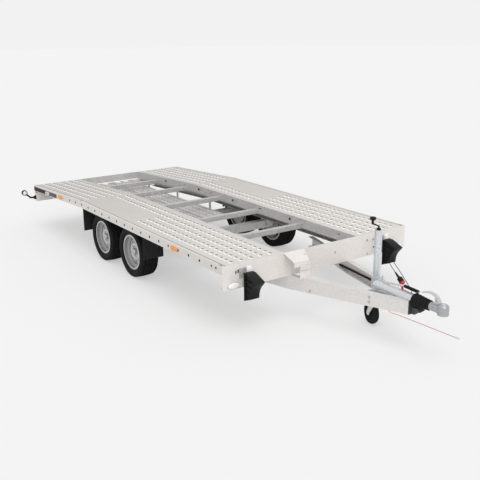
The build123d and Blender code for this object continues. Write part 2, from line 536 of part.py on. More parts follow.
END_PLATE_LOW_Z = DECK_HEIGHT - LEG_TOP_DROP - LEG_FRONT_HEIGHT
with BuildPart() as end_plate:
    add_block(LEG_FRONT_X + SEAT_GAP, BELLOWS_X - SEAT_GAP, -LEG_FRONT_Y, LEG_FRONT_Y, END_PLATE_LOW_Z, SHAFT_AXIS_Z)
    add_rod((LEG_FRONT_X, 0, SHAFT_AXIS_Z), (BELLOWS_X, 0, SHAFT_AXIS_Z), TUBE_RADIUS + SEAT_GAP, mode=Mode.SUBTRACT)
    for side in (-1, 1):
        with BuildSketch(Plane.XZ.offset(side * 30.0 - 4)) as lug:
            with BuildLine():
                Polyline((BELLOWS_X - 4, END_PLATE_LOW_Z + 4), (BELLOWS_X - 4, END_PLATE_LOW_Z + 62),
                         (BELLOWS_X + 66, END_PLATE_LOW_Z + 62), (BELLOWS_X + 80, END_PLATE_LOW_Z + 40),
                         (BELLOWS_X + 40, END_PLATE_LOW_Z + 8), close=True)
            make_face()
        extrude(lug.sketch, amount=8)
save(end_plate, "end_plate")

# Bellows between the overrun tube and the coupling head
BELLOWS_LENGTH = 165.0
BELLOWS_REAR_RADIUS = 55.0
BELLOWS_FRONT_RADIUS = 40.0
FOLD_COUNT = 6
FOLD_DEPTH = 9.0
fold = BELLOWS_LENGTH / FOLD_COUNT
taper = (BELLOWS_REAR_RADIUS - BELLOWS_FRONT_RADIUS) / FOLD_COUNT
bellows_end = (BELLOWS_X + BELLOWS_LENGTH, SHAFT_AXIS_Z + BELLOWS_FRONT_RADIUS - FOLD_DEPTH)
with BuildPart() as bellows:
    with BuildSketch(Plane.XZ) as section:
        with BuildLine():
            Line((BELLOWS_X, SHAFT_AXIS_Z + SHAFT_RADIUS + SEAT_GAP),
                 (BELLOWS_X, SHAFT_AXIS_Z + BELLOWS_REAR_RADIUS - FOLD_DEPTH))
            for index in range(FOLD_COUNT):
                valley = SHAFT_AXIS_Z + BELLOWS_REAR_RADIUS - FOLD_DEPTH - index * taper
                ThreePointArc((BELLOWS_X + index * fold, valley),
                              (BELLOWS_X + (index + 0.5) * fold, valley + FOLD_DEPTH - taper / 2),
                              (BELLOWS_X + (index + 1) * fold, valley - taper))
            Line(bellows_end, (BELLOWS_X + BELLOWS_LENGTH, SHAFT_AXIS_Z + SHAFT_RADIUS + SEAT_GAP))
            Line((BELLOWS_X + BELLOWS_LENGTH, SHAFT_AXIS_Z + SHAFT_RADIUS + SEAT_GAP),
                 (BELLOWS_X, SHAFT_AXIS_Z + SHAFT_RADIUS + SEAT_GAP))
        make_face()
    revolve(section.sketch, axis=Axis((0, 0, SHAFT_AXIS_Z), (1, 0, 0)))
save(bellows, "bellows")

# Coupling head on the sliding shaft: round collar, lofted neck and a cup over the ball
BALL_RADIUS = 25.0
CUP_RADIUS = 43.0
CUP_RISE = 48.0
CUP_DROP = 35.0
CUP_ROUNDING = 24.0
BALL_X = NOSE_X - CUP_RADIUS
COLLAR_END_X = BELLOWS_X + BELLOWS_LENGTH + 14.0
SHAFT_REACH = 120.0


def add_cup(clearance, mode=Mode.ADD):
    """Rounded cup of the coupling head, or the space it takes in a neighbour."""
    with BuildSketch(Plane(origin=(BALL_X, 0, SHAFT_AXIS_Z), x_dir=(1, 0, 0), z_dir=(0, -1, 0))) as half:
        with BuildLine():
            radius = CUP_RADIUS + clearance
            top = CUP_RISE + clearance
            Polyline((0, top), (0, -CUP_DROP - clearance), (radius, -CUP_DROP - clearance), (radius, top - CUP_ROUNDING))
            RadiusArc((radius, top - CUP_ROUNDING), (radius - CUP_ROUNDING, top), -CUP_ROUNDING)
            Line((radius - CUP_ROUNDING, top), (0, top))
        make_face()
    revolve(half.sketch, axis=Axis((BALL_X, 0, SHAFT_AXIS_Z), (0, 0, 1)), mode=mode)


with BuildPart() as coupling_head:
    add_rod((BELLOWS_X - SHAFT_REACH, 0, SHAFT_AXIS_Z), (COLLAR_END_X, 0, SHAFT_AXIS_Z), SHAFT_RADIUS)
    add_rod((BELLOWS_X + BELLOWS_LENGTH + SEAT_GAP, 0, SHAFT_AXIS_Z), (COLLAR_END_X, 0, SHAFT_AXIS_Z), 33)
    with BuildSketch(Plane.YZ.offset(COLLAR_END_X)) as neck_rear:
        with Locations((0, SHAFT_AXIS_Z)):
            RectangleRounded(62, 62, 26)
    with BuildSketch(Plane.YZ.offset(BALL_X - 12)) as neck_front:
        with Locations((0, SHAFT_AXIS_Z)):
            RectangleRounded(74, 54, 16)
    loft([neck_rear.sketch, neck_front.sketch])
    add_cup(0)
    with Locations((BALL_X, 0, SHAFT_AXIS_Z)):
        Sphere(BALL_RADIUS + SEAT_GAP, mode=Mode.SUBTRACT)
    add_rod((BALL_X, 0, SHAFT_AXIS_Z - CUP_DROP - 1), (BALL_X, 0, SHAFT_AXIS_Z), BALL_RADIUS + SEAT_GAP,
            mode=Mode.SUBTRACT)
    with BuildSketch(Plane.XY.offset(SHAFT_AXIS_Z + CUP_RISE - 4)) as window:
        with Locations((BALL_X + 4, 0)):
            SlotOverall(34, 22)
    extrude(window.sketch, amount=5, mode=Mode.SUBTRACT)
save(coupling_head, "coupling_head")

# Coupling lever: curved handle over the neck, its foot on the cup
HANDLE_WIDTH = 32.0
HANDLE_THICKNESS = 9.0
handle_route = ((BALL_X - 197, SHAFT_AXIS_Z + 86), (BALL_X - 105, SHAFT_AXIS_Z + 101),
                (BALL_X - 58, SHAFT_AXIS_Z + 82), (BALL_X - 30, SHAFT_AXIS_Z + 34))
with BuildPart() as coupling_lever:
    with BuildSketch(Plane.XZ.offset(-HANDLE_WIDTH / 2)) as handle:
        with BuildLine() as handle_line:
            Spline(*handle_route, tangents=((1, 0.35), (0.3, -1)))
        trace(handle_line.line, line_width=HANDLE_THICKNESS)
    extrude(handle.sketch, amount=HANDLE_WIDTH)
    add_block(BALL_X - 78, BALL_X - 46, -9, 9, SHAFT_AXIS_Z + 20, SHAFT_AXIS_Z + 84)
    with BuildSketch(Plane.YZ.offset(COLLAR_END_X)) as neck_rear:
        with Locations((0, SHAFT_AXIS_Z)):
            RectangleRounded(62 + 2 * SEAT_GAP, 62 + 2 * SEAT_GAP, 26)
    with BuildSketch(Plane.YZ.offset(BALL_X - 12)) as neck_front:
        with Locations((0, SHAFT_AXIS_Z)):
            RectangleRounded(74 + 2 * SEAT_GAP, 54 + 2 * SEAT_GAP, 16)
    loft([neck_rear.sketch, neck_front.sketch], mode=Mode.SUBTRACT)
    add_cup(SEAT_GAP, mode=Mode.SUBTRACT)
save(coupling_lever, "coupling_lever")

# Handbrake lever with its grip
ARM_RADIUS = 8.0
LEVER_PIVOT_X = HOUSING_REAR_X + 100.0
PIVOT_Z = SHAFT_AXIS_Z + TUBE_RADIUS + 14.0
GRIP_START = (LEVER_PIVOT_X + 197, 0, SHAFT_AXIS_Z + 79)
GRIP_END = (LEVER_PIVOT_X + 346, 0, SHAFT_AXIS_Z + 72)
with BuildPart() as handbrake_lever:
    with BuildSketch(Plane.XZ.offset(-5)) as pivot_plate:
        with Locations((LEVER_PIVOT_X, SHAFT_AXIS_Z + TUBE_RADIUS)):
            RectangleRounded(60, 44, 12)
    extrude(pivot_plate.sketch, amount=10)
    add_rod((LEVER_PIVOT_X, 0, PIVOT_Z), GRIP_START, ARM_RADIUS)
    with Locations(GRIP_START):
        Sphere(ARM_RADIUS)
    add_rod(GRIP_START, GRIP_END, ARM_RADIUS)
    add_rod((HOUSING_REAR_X, 0, SHAFT_AXIS_Z), (LEG_FRONT_X, 0, SHAFT_AXIS_Z), TUBE_RADIUS + SEAT_GAP, mode=Mode.SUBTRACT)
save(handbrake_lever, "handbrake_lever")
with BuildPart() as handbrake_grip:
    add_rod((GRIP_START[0] + 6, 0, GRIP_START[2]), GRIP_END, 12)
    add_rod(GRIP_START, GRIP_END, ARM_RADIUS + RUNNING_GAP, mode=Mode.SUBTRACT)
    add_rod((LEVER_PIVOT_X, 0, PIVOT_Z), GRIP_START, ARM_RADIUS + RUNNING_GAP, mode=Mode.SUBTRACT)
    with Locations(GRIP_START):
        Sphere(ARM_RADIUS + RUNNING_GAP, mode=Mode.SUBTRACT)
save(handbrake_grip, "handbrake_grip")

# Plug parked in a red holder on the overrun tube
PLUG_Y = 35.0
PLUG_TOP = Vector(LEG_FRONT_X - 235.0, PLUG_Y, DECK_HEIGHT - 32.0)
PLUG_DIRECTION = Vector(94, 0, -73).normalized()
PLUG_RADIUS = 22.0
BOOT_LENGTH = 62.0
PLUG_LENGTH = 100.0
HOLDER_LENGTH = 15.0
plug_plane = Plane(origin=PLUG_TOP, x_dir=PLUG_DIRECTION, z_dir=(0, -1, 0))
with BuildPart() as plug:
    with BuildSketch(plug_plane) as section:
        with BuildLine():
            Polyline((0, 0), (0, 5), (BOOT_LENGTH - 8, 11), (BOOT_LENGTH, PLUG_RADIUS), (PLUG_LENGTH, PLUG_RADIUS),
                     (PLUG_LENGTH, 0), close=True)
        make_face()
    revolve(section.sketch, axis=Axis(PLUG_TOP, PLUG_DIRECTION))
save(plug, "plug")
HOLDER_START = PLUG_TOP + PLUG_DIRECTION * (PLUG_LENGTH + SEAT_GAP)
HOLDER_END = HOLDER_START + PLUG_DIRECTION * HOLDER_LENGTH
with BuildPart() as plug_holder:
    add_rod(tuple(HOLDER_START), tuple(HOLDER_END), PLUG_RADIUS - 1)
    tab_x = (HOLDER_START.X + HOLDER_END.X) / 2
    add_block(tab_x - 8, tab_x + 8, PLUG_Y - 3, PLUG_Y + 3, SHAFT_AXIS_Z + 4, (HOLDER_START.Z + HOLDER_END.Z) / 2)
    add_rod((HOUSING_REAR_X, 0, SHAFT_AXIS_Z), (LEG_FRONT_X, 0, SHAFT_AXIS_Z), TUBE_RADIUS + SEAT_GAP, mode=Mode.SUBTRACT)
save(plug_holder, "plug_holder")

# Plug cable: a standing loop from the plug's boot to the top of the left leg
PLUG_CABLE = 5.2
CABLE_FOOT_X = LEG_FRONT_X - 82.0
CABLE_FOOT_Y = 70.0
leg_fall = (LEG_TOP_DROP - DECK_HEIGHT + LEG_SEAT_Z) / (LEG_FRONT_X - FRONT_X)
CABLE_FOOT_Z = DECK_HEIGHT - LEG_TOP_DROP + leg_fall * (LEG_FRONT_X - CABLE_FOOT_X) + SEAT_GAP
cable_start = tuple(PLUG_TOP - PLUG_DIRECTION * SEAT_GAP)
plug_cable_route = [
    cable_start,
    (LEG_FRONT_X - 278.0, 35, DECK_HEIGHT + 2),
    (LEG_FRONT_X - 314.0, 35, DECK_HEIGHT + 46),
    (LEG_FRONT_X - 326.0, 95, DECK_HEIGHT + 36),
    (LEG_FRONT_X - 280.0, 94, DECK_HEIGHT - 6),
    (LEG_FRONT_X - 230.0, 92, DECK_HEIGHT - 44),
    (LEG_FRONT_X - 176.0, 88, DECK_HEIGHT - 88),
    (LEG_FRONT_X - 120.0, 80, DECK_HEIGHT - 132),
    (CABLE_FOOT_X, CABLE_FOOT_Y, CABLE_FOOT_Z + 33),
    (CABLE_FOOT_X, CABLE_FOOT_Y, CABLE_FOOT_Z),
]
with BuildPart() as plug_cable:
    add_cord(plug_cable_route, PLUG_CABLE, "plug_cable")
save(plug_cable, "plug_cable")

# Breakaway cable: along the overrun tube, over the left leg and forward on the ground to its hook
BREAKAWAY = 4.0
BREAKAWAY_STEPS = 20
floor_z = BREAKAWAY / 2 + SEAT_GAP
floor_start = (LEG_FRONT_X - 522.0, 454.0, floor_z)
floor_end = (LEG_FRONT_X + 42.0, 470.0, floor_z)
lying_z = SHAFT_AXIS_Z + TUBE_RADIUS + BREAKAWAY / 2 + SEAT_GAP
hidden_way = Bezier((LEG_FRONT_X - 5.0, 0, lying_z), (LEG_FRONT_X - 120.0, -4, lying_z), (LEG_FRONT_X - 200.0, -4, lying_z),
                    (LEG_FRONT_X - 280.0, 60, lying_z + 10), (LEG_FRONT_X - 320.0, 430, lying_z + 150),
                    (LEG_FRONT_X - 540.0, 330, floor_z), (LEG_FRONT_X - 740.0, 330, floor_z), (LEG_FRONT_X - 690.0, 462, floor_z),
                    floor_start)
breakaway_route = [tuple(hidden_way @ (index / BREAKAWAY_STEPS)) for index in range(BREAKAWAY_STEPS + 1)]
with BuildPart() as breakaway_cable:
    add_cord([*breakaway_route, floor_end], BREAKAWAY, "breakaway_cable")
save(breakaway_cable, "breakaway_cable")
with BuildPart() as breakaway_hook:
    hook_plane = Plane(origin=(floor_end[0] + SEAT_GAP + 26, floor_end[1] + 0.7, 0),
                       x_dir=Vector(*floor_end) - Vector(*floor_start), z_dir=(0, 0, 1))
    with BuildSketch(hook_plane) as ring:
        SlotOverall(52, 24)
        SlotOverall(42, 14, mode=Mode.SUBTRACT)
    extrude(ring.sketch, amount=2 * floor_z)
save(breakaway_hook, "breakaway_hook")

# Jockey wheel: clamped tube, telescoping stem with a swivelling fork, wheel and crank
JOCKEY_X = FRONT_X + 558.0
JOCKEY_Y = 118.0
JOCKEY_TUBE_RADIUS = 30.0
JOCKEY_TUBE_WALL = 3.0
JOCKEY_TOP_Z = DECK_HEIGHT + 238.0
JOCKEY_BOTTOM_Z = 330.0
STEM_RADIUS = 24.0
GUIDE_LENGTH = 60.0
COLLAR_LENGTH = 12.0
STEM_TOP_Z = JOCKEY_TOP_Z - 150.0
STEM_BOTTOM_Z = 222.0
JOCKEY_WHEEL_RADIUS = 100.0
JOCKEY_WHEEL_WIDTH = 52.0
JOCKEY_RIM_RADIUS = 70.0
JOCKEY_TRAIL = 60.0
JOCKEY_SWIVEL = -18.0
CHEEK = 5.0
jockey_foot = (JOCKEY_X, JOCKEY_Y, JOCKEY_BOTTOM_Z)
with BuildPart() as jockey_tube:
    add_rod(jockey_foot, (JOCKEY_X, JOCKEY_Y, JOCKEY_TOP_Z), JOCKEY_TUBE_RADIUS)
    add_rod((JOCKEY_X, JOCKEY_Y, JOCKEY_BOTTOM_Z - 1), (JOCKEY_X, JOCKEY_Y, JOCKEY_TOP_Z - 6),
            STEM_RADIUS + RUNNING_GAP, mode=Mode.SUBTRACT)
    add_rod((JOCKEY_X, JOCKEY_Y, JOCKEY_BOTTOM_Z + GUIDE_LENGTH), (JOCKEY_X, JOCKEY_Y, JOCKEY_TOP_Z - 6),
            JOCKEY_TUBE_RADIUS - JOCKEY_TUBE_WALL, mode=Mode.SUBTRACT)
save(jockey_tube, "jockey_tube")
with BuildPart() as jockey_stem:
    add_rod((JOCKEY_X, JOCKEY_Y, STEM_BOTTOM_Z + SEAT_GAP), (JOCKEY_X, JOCKEY_Y, STEM_TOP_Z), STEM_RADIUS)
    add_rod((JOCKEY_X, JOCKEY_Y, STEM_TOP_Z - COLLAR_LENGTH), (JOCKEY_X, JOCKEY_Y, STEM_TOP_Z),
            JOCKEY_TUBE_RADIUS - JOCKEY_TUBE_WALL - RUNNING_GAP)
save(jockey_stem, "jockey_stem")

rolling = Vector(cos(radians(JOCKEY_SWIVEL)), sin(radians(JOCKEY_SWIVEL)), 0)
across = Vector(-rolling.Y, rolling.X, 0)
jockey_hub = Vector(JOCKEY_X, JOCKEY_Y, JOCKEY_WHEEL_RADIUS) - rolling * JOCKEY_TRAIL
half_fork = JOCKEY_WHEEL_WIDTH / 2 + CHEEK
with BuildPart() as jockey_fork:
    fork_top = Plane(origin=(JOCKEY_X, JOCKEY_Y, STEM_BOTTOM_Z), x_dir=rolling, z_dir=(0, 0, 1))
    with BuildSketch(fork_top) as crown:
        RectangleRounded(62, 2 * (half_fork + CHEEK), 8)
    extrude(crown.sketch, amount=-7)
    for side in (-1, 1):
        cheek_plane = Plane(origin=Vector(JOCKEY_X, JOCKEY_Y, 0) + across * (side * half_fork), x_dir=rolling,
                            z_dir=across * side)
        height = cheek_plane.y_dir.Z
        with BuildSketch(cheek_plane) as cheek:
            with BuildLine():
                Polyline((-31, height * (STEM_BOTTOM_Z - 6)), (31, height * (STEM_BOTTOM_Z - 6)),
                         (31, height * (STEM_BOTTOM_Z - 34)), (22 - JOCKEY_TRAIL, height * JOCKEY_WHEEL_RADIUS),
                         (-22 - JOCKEY_TRAIL, height * JOCKEY_WHEEL_RADIUS), close=True)
            make_face()
            with Locations((-JOCKEY_TRAIL, height * JOCKEY_WHEEL_RADIUS)):
                Circle(22)
        extrude(cheek.sketch, amount=CHEEK)
    axle_reach = across * (half_fork + CHEEK + 4)
    add_rod(tuple(jockey_hub - axle_reach), tuple(jockey_hub + axle_reach), 8)
save(jockey_fork, "jockey_fork")
jockey_middle = Plane(origin=jockey_hub, x_dir=across, z_dir=(-1) * rolling)
with BuildPart() as jockey_wheel:
    with BuildSketch(jockey_middle) as section:
        with BuildLine():
            half = JOCKEY_WHEEL_WIDTH / 2
            outer = JOCKEY_RIM_RADIUS + 20
            Polyline((-half + 2, 8 + RUNNING_GAP), (-half + 2, 26), (-half + 14, 34), (-half + 14, 58),
                     (-half + 3, JOCKEY_RIM_RADIUS), (-half, outer))
            ThreePointArc((-half, outer), (0, JOCKEY_WHEEL_RADIUS), (half, outer))
            Polyline((half, outer), (half - 3, JOCKEY_RIM_RADIUS), (half - 14, 58), (half - 14, 34), (half - 2, 26),
                     (half - 2, 8 + RUNNING_GAP), (-half + 2, 8 + RUNNING_GAP))
        make_face()
    revolve(section.sketch, axis=Axis(jockey_hub, across))
save(jockey_wheel, "jockey_wheel")

# Crank at the tube's top, its knob a mushroom
CRANK_REACH = 70.0
KNOB_RADIUS = 27.0
with BuildPart() as jockey_crank:
    with Locations((JOCKEY_X, JOCKEY_Y, JOCKEY_TOP_Z + SEAT_GAP)):
        Cylinder(18, 14, align=(Align.CENTER, Align.CENTER, Align.MIN))
    add_rod((JOCKEY_X, JOCKEY_Y, JOCKEY_TOP_Z + 8), (JOCKEY_X, JOCKEY_Y, JOCKEY_TOP_Z + 30), 6)
    with Locations((JOCKEY_X, JOCKEY_Y, JOCKEY_TOP_Z + 30)):
        Sphere(8)
    add_rod((JOCKEY_X, JOCKEY_Y, JOCKEY_TOP_Z + 30), (JOCKEY_X - CRANK_REACH, JOCKEY_Y, JOCKEY_TOP_Z + 38), 6)
    with BuildSketch(Plane(origin=(JOCKEY_X - CRANK_REACH, JOCKEY_Y, JOCKEY_TOP_Z + 38), x_dir=(1, 0, 0),
                           z_dir=(0, -1, 0))) as knob:
        with BuildLine():
            Polyline((0, -8), (9, -8), (11, 28), (KNOB_RADIUS - 4, 34))
            ThreePointArc((KNOB_RADIUS - 4, 34), (KNOB_RADIUS, 46), (KNOB_RADIUS - 7, 56))
            Polyline((KNOB_RADIUS - 7, 56), (0, 60), (0, -8))
        make_face()
    revolve(knob.sketch, axis=Axis((JOCKEY_X - CRANK_REACH, JOCKEY_Y, 0), (0, 0, 1)))
save(jockey_crank, "jockey_crank")

# Clamp between the tube and the left leg, with its screw
CLAMP_Z0 = DECK_HEIGHT - 250.0
CLAMP_Z1 = DECK_HEIGHT - 165.0
CLAMP_HALF = 38.0


def leg_inner_y(x):
    """Width at which a leg's inner edge passes a place along the drawbar."""
    return LEG_FRONT_Y - LEG_WIDTH / cos(LEG_ANGLE) + LEG_SPREAD * (LEG_FRONT_X - x)


with BuildPart() as jockey_clamp:
    clamp_x0, clamp_x1 = JOCKEY_X - CLAMP_HALF, JOCKEY_X + CLAMP_HALF
    with BuildSketch(Plane.XY.offset(CLAMP_Z0)) as clamp_face:
        with BuildLine():
            Polyline((clamp_x0, JOCKEY_Y - 12), (JOCKEY_X - 22, JOCKEY_Y - CLAMP_HALF),
                     (JOCKEY_X + 22, JOCKEY_Y - CLAMP_HALF), (clamp_x1, JOCKEY_Y - 12),
                     (clamp_x1, leg_inner_y(clamp_x1)), (clamp_x0, leg_inner_y(clamp_x0)), close=True)
        make_face()
    extrude(clamp_face.sketch, amount=CLAMP_Z1 - CLAMP_Z0)
    clamp_end = (clamp_x1 - 4, JOCKEY_Y + 4, CLAMP_Z1 - 24)
    add_rod(clamp_end, (clamp_x1 + 34, JOCKEY_Y + 4, CLAMP_Z1 - 24), 11)
    add_rod((clamp_x1 + 26, JOCKEY_Y + 4, CLAMP_Z1 + 26), (clamp_x1 + 26, JOCKEY_Y + 4, CLAMP_Z1 - 66), 7)
    add_rod((JOCKEY_X, JOCKEY_Y, CLAMP_Z0 - 1), (JOCKEY_X, JOCKEY_Y, CLAMP_Z1 + 1), JOCKEY_TUBE_RADIUS + SEAT_GAP,
            mode=Mode.SUBTRACT)
save(jockey_clamp, "jockey_clamp")

# Wheel chocks on the front beam, each slid over a peg
CHOCK_PLACES = (-815.0, 770.0)
CHOCK_WIDTH = 92.0
CHOCK_STANDOFF = 28.0
with BuildPart() as wheel_chocks:
    for chock_y in CHOCK_PLACES:
        chock_plane = Plane(origin=(FRONT_X, chock_y + CHOCK_WIDTH / 2, DECK_HEIGHT), x_dir=(1, 0, 0), z_dir=(0, -1, 0))
        with BuildSketch(chock_plane) as wedge:
            with BuildLine():
                Polyline((CHOCK_STANDOFF, -80), (72, -80), (200, -130), (172, -163))
                ThreePointArc((172, -163), (133, -218), (120, -288))
                Polyline((120, -288), (CHOCK_STANDOFF, -325), (CHOCK_STANDOFF, -80))
            make_face()
        extrude(wedge.sketch, amount=CHOCK_WIDTH)
save(wheel_chocks, "wheel_chocks")
with BuildPart() as chock_brackets:
    for chock_y in CHOCK_PLACES:
        add_block(FRONT_X, FRONT_X + SHEET, chock_y - 75, chock_y + 30, DECK_HEIGHT - 130, DECK_HEIGHT - 45)
        add_block(FRONT_X, FRONT_X + CHOCK_STANDOFF - SEAT_GAP, chock_y - 18, chock_y + 18, DECK_HEIGHT - 150,
                  DECK_HEIGHT - 90)
save(chock_brackets, "chock_brackets")

# Lamps and markers
LAMP_LENGTH = 128.0
with BuildPart() as front_lamps:
    for side in (-1, 1):
        lamp = Plane(origin=(FRONT_X, side * 943.0, DECK_HEIGHT - 180.0), x_dir=(0, 1, 0), z_dir=(1, 0, 0))
        with BuildSketch(lamp) as lamp_base:
            Ellipse(LAMP_LENGTH / 2, 29)
        extrude(lamp_base.sketch, amount=8)
        with BuildSketch(lamp.offset(8)) as lens:
            Ellipse(LAMP_LENGTH / 2 - 5, 24)
        extrude(lens.sketch, amount=7)
save(front_lamps, "front_lamps")
with BuildPart() as side_markers:
    for marker_x in (station(-598.0), station(2087.0)):
        for side in (-1, 1):
            marker = Plane(origin=(marker_x, side * HALF_WIDTH, deck_z(marker_x) - HOLE_DROP), x_dir=(1, 0, 0),
                           z_dir=(0, side, 0))
            with BuildSketch(marker) as marker_face:
                RectangleRounded(120, 34, 8)
            extrude(marker_face.sketch, amount=12, taper=12)
save(side_markers, "side_markers")
with BuildPart() as rear_lamps:
    for side in (-1, 1):
        y0, y1 = sorted((side * LAMP_INNER_Y, side * LAMP_OUTER_Y))
        add_block(REAR_X, REAR_X + LAMP_DEPTH, y0, y1, LAMP_LOW_Z, LAMP_HIGH_Z)
save(rear_lamps, "rear_lamps")
ARM_REACH = 140.0
ARM_RISE = 75.0
with BuildPart() as outline_lamps:
    for side in (-1, 1):
        base = (REAR_X + 30, side * HALF_WIDTH, REAR_TOP_Z - 55)
        root = (base[0], side * (HALF_WIDTH + 12), base[2])
        elbow = (base[0], side * (HALF_WIDTH + ARM_REACH / 2), base[2] + 6)
        head = (REAR_X + 30, side * (HALF_WIDTH + ARM_REACH), base[2] + ARM_RISE)
        with Locations(Plane(origin=base, z_dir=(0, side, 0))):
            Cone(28, 14, 30, align=(Align.CENTER, Align.CENTER, Align.MIN))
        add_rod(root, elbow, 11)
        with Locations(elbow):
            Sphere(12)
        add_rod(elbow, head, 11)
        add_rod((head[0] - 22, head[1], head[2]), (head[0] + 22, head[1], head[2]), 34)
save(outline_lamps, "outline_lamps")

# Folded bracket from the front beam to the right leg
BRACKET_REACH = 150.0
BRACKET_SHEET = 5.0
BRACKET_DROP = 50.0
LIP_Z = DECK_HEIGHT - 92.0
BRACKET_INNER_Y = 212.0
BRACKET_OUTER_Y = 430.0
with BuildPart() as front_bracket:
    bracket_end_x = FRONT_X + BRACKET_REACH
    with BuildSketch(Plane.XZ.offset(BRACKET_INNER_Y)) as profile:
        with BuildLine():
            Polyline((FRONT_X, DECK_HEIGHT - 70), (FRONT_X, DECK_HEIGHT), (FRONT_X + 8, DECK_HEIGHT),
                     (bracket_end_x, DECK_HEIGHT - BRACKET_DROP), (bracket_end_x, LIP_Z),
                     (bracket_end_x - BRACKET_SHEET, LIP_Z),
                     (bracket_end_x - BRACKET_SHEET, DECK_HEIGHT - BRACKET_DROP - BRACKET_SHEET + 1),
                     (FRONT_X + BRACKET_SHEET + 2, DECK_HEIGHT - BRACKET_SHEET - 1),
                     (FRONT_X + BRACKET_SHEET, DECK_HEIGHT - 70), close=True)
        make_face()
    extrude(profile.sketch, amount=BRACKET_OUTER_Y - BRACKET_INNER_Y)
    with BuildSketch(Plane.XY.offset(DECK_HEIGHT - 200)) as bevel:
        with BuildLine():
            Polyline((FRONT_X + 12, -BRACKET_INNER_Y + 1), (bracket_end_x + 1, -BRACKET_INNER_Y + 1),
                     (bracket_end_x + 1, -BRACKET_INNER_Y - 58), close=True)
        make_face()
    extrude(bevel.sketch, amount=220, mode=Mode.SUBTRACT)
    add_rod((FRONT_X + 72, -258, DECK_HEIGHT - 80), (FRONT_X + 72, -258, DECK_HEIGHT + 10), 8, mode=Mode.SUBTRACT)
    foot_z = LEG_SEAT_Z + (DECK_HEIGHT - LEG_TOP_DROP - LEG_SEAT_Z) * BRACKET_REACH / (LEG_FRONT_X - FRONT_X) + SEAT_GAP
    foot_x0 = bracket_end_x - 2 * BRACKET_SHEET
    with BuildSketch(Plane.YZ.offset(foot_x0)) as foot:
        with Locations((-306, (foot_z + LIP_Z + 30) / 2)):
            Rectangle(110, LIP_Z + 30 - foot_z)
        with Locations((-310, DECK_HEIGHT - 137)):
            SlotOverall(80, 14, mode=Mode.SUBTRACT)
    extrude(foot.sketch, amount=BRACKET_SHEET)
save(front_bracket, "front_bracket")
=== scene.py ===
"""Visual model of the car transporter trailer, dressed over its solids. Metres, +X forward, +Z up."""
import json
import logging
import math
from contextlib import contextmanager
from dataclasses import dataclass
from enum import Enum
from typing import Callable, Iterator, Sequence

import bmesh
import bpy
from mathutils import Matrix, Vector

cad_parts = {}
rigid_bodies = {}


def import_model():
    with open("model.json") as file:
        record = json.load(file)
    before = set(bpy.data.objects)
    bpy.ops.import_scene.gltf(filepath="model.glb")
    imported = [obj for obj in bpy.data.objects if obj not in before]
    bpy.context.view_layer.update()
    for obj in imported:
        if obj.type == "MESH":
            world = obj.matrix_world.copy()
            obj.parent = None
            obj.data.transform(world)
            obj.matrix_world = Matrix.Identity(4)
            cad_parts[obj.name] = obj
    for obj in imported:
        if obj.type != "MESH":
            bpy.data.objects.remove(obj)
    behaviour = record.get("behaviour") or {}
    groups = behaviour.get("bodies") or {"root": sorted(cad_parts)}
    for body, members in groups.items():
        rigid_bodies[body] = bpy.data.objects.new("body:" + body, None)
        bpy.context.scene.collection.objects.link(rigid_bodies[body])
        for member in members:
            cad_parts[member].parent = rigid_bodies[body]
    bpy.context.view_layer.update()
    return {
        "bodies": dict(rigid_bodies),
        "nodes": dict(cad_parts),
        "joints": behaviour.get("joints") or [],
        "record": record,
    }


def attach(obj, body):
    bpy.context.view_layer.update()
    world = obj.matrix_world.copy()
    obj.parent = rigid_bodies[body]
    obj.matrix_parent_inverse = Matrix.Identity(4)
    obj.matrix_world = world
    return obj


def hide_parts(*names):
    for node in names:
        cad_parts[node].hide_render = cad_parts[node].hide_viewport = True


log = logging.getLogger("trailer")
Point = tuple[float, float, float]
Place = tuple[float, float]

HALF_WIDTH = 1.05
DECK_Z = 0.607
REAR_X = -2.875
KINK_X = -1.375
FRONT_X = 1.475
LEG_FRONT_X = 2.545
SHAFT_Z = 0.427
SLOPE = 0.078 / 1.5


def deck_z(x: float) -> float:
    """Height of the deck's surface at a place along the trailer."""
    return DECK_Z - max(0.0, KINK_X - x) * SLOPE


def side_span(side: int, near: float, far: float) -> tuple[float, float]:
    """Lower and upper place across the trailer of a stretch on one side.

    Args:
        side: -1 for the right, 1 for the left.
        near: Distance of its near end from the middle.
        far: Distance of its far end from the middle.

    Returns:
        Both places, the lower one first.
    """
    return min(side * near, side * far), max(side * near, side * far)


def linear(red: float, green: float, blue: float) -> tuple[float, float, float, float]:
    """Turn a screen colour into the linear colour that a shader takes.

    Args:
        red: Screen red, 0 to 255.
        green: Screen green, 0 to 255.
        blue: Screen blue, 0 to 255.

    Returns:
        Linear red, green, blue and an alpha of 1.
    """
    values = [channel / 255 for channel in (red, green, blue)]
    return (*[v / 12.92 if v <= 0.04045 else ((v + 0.055) / 1.055) ** 2.4 for v in values], 1.0)


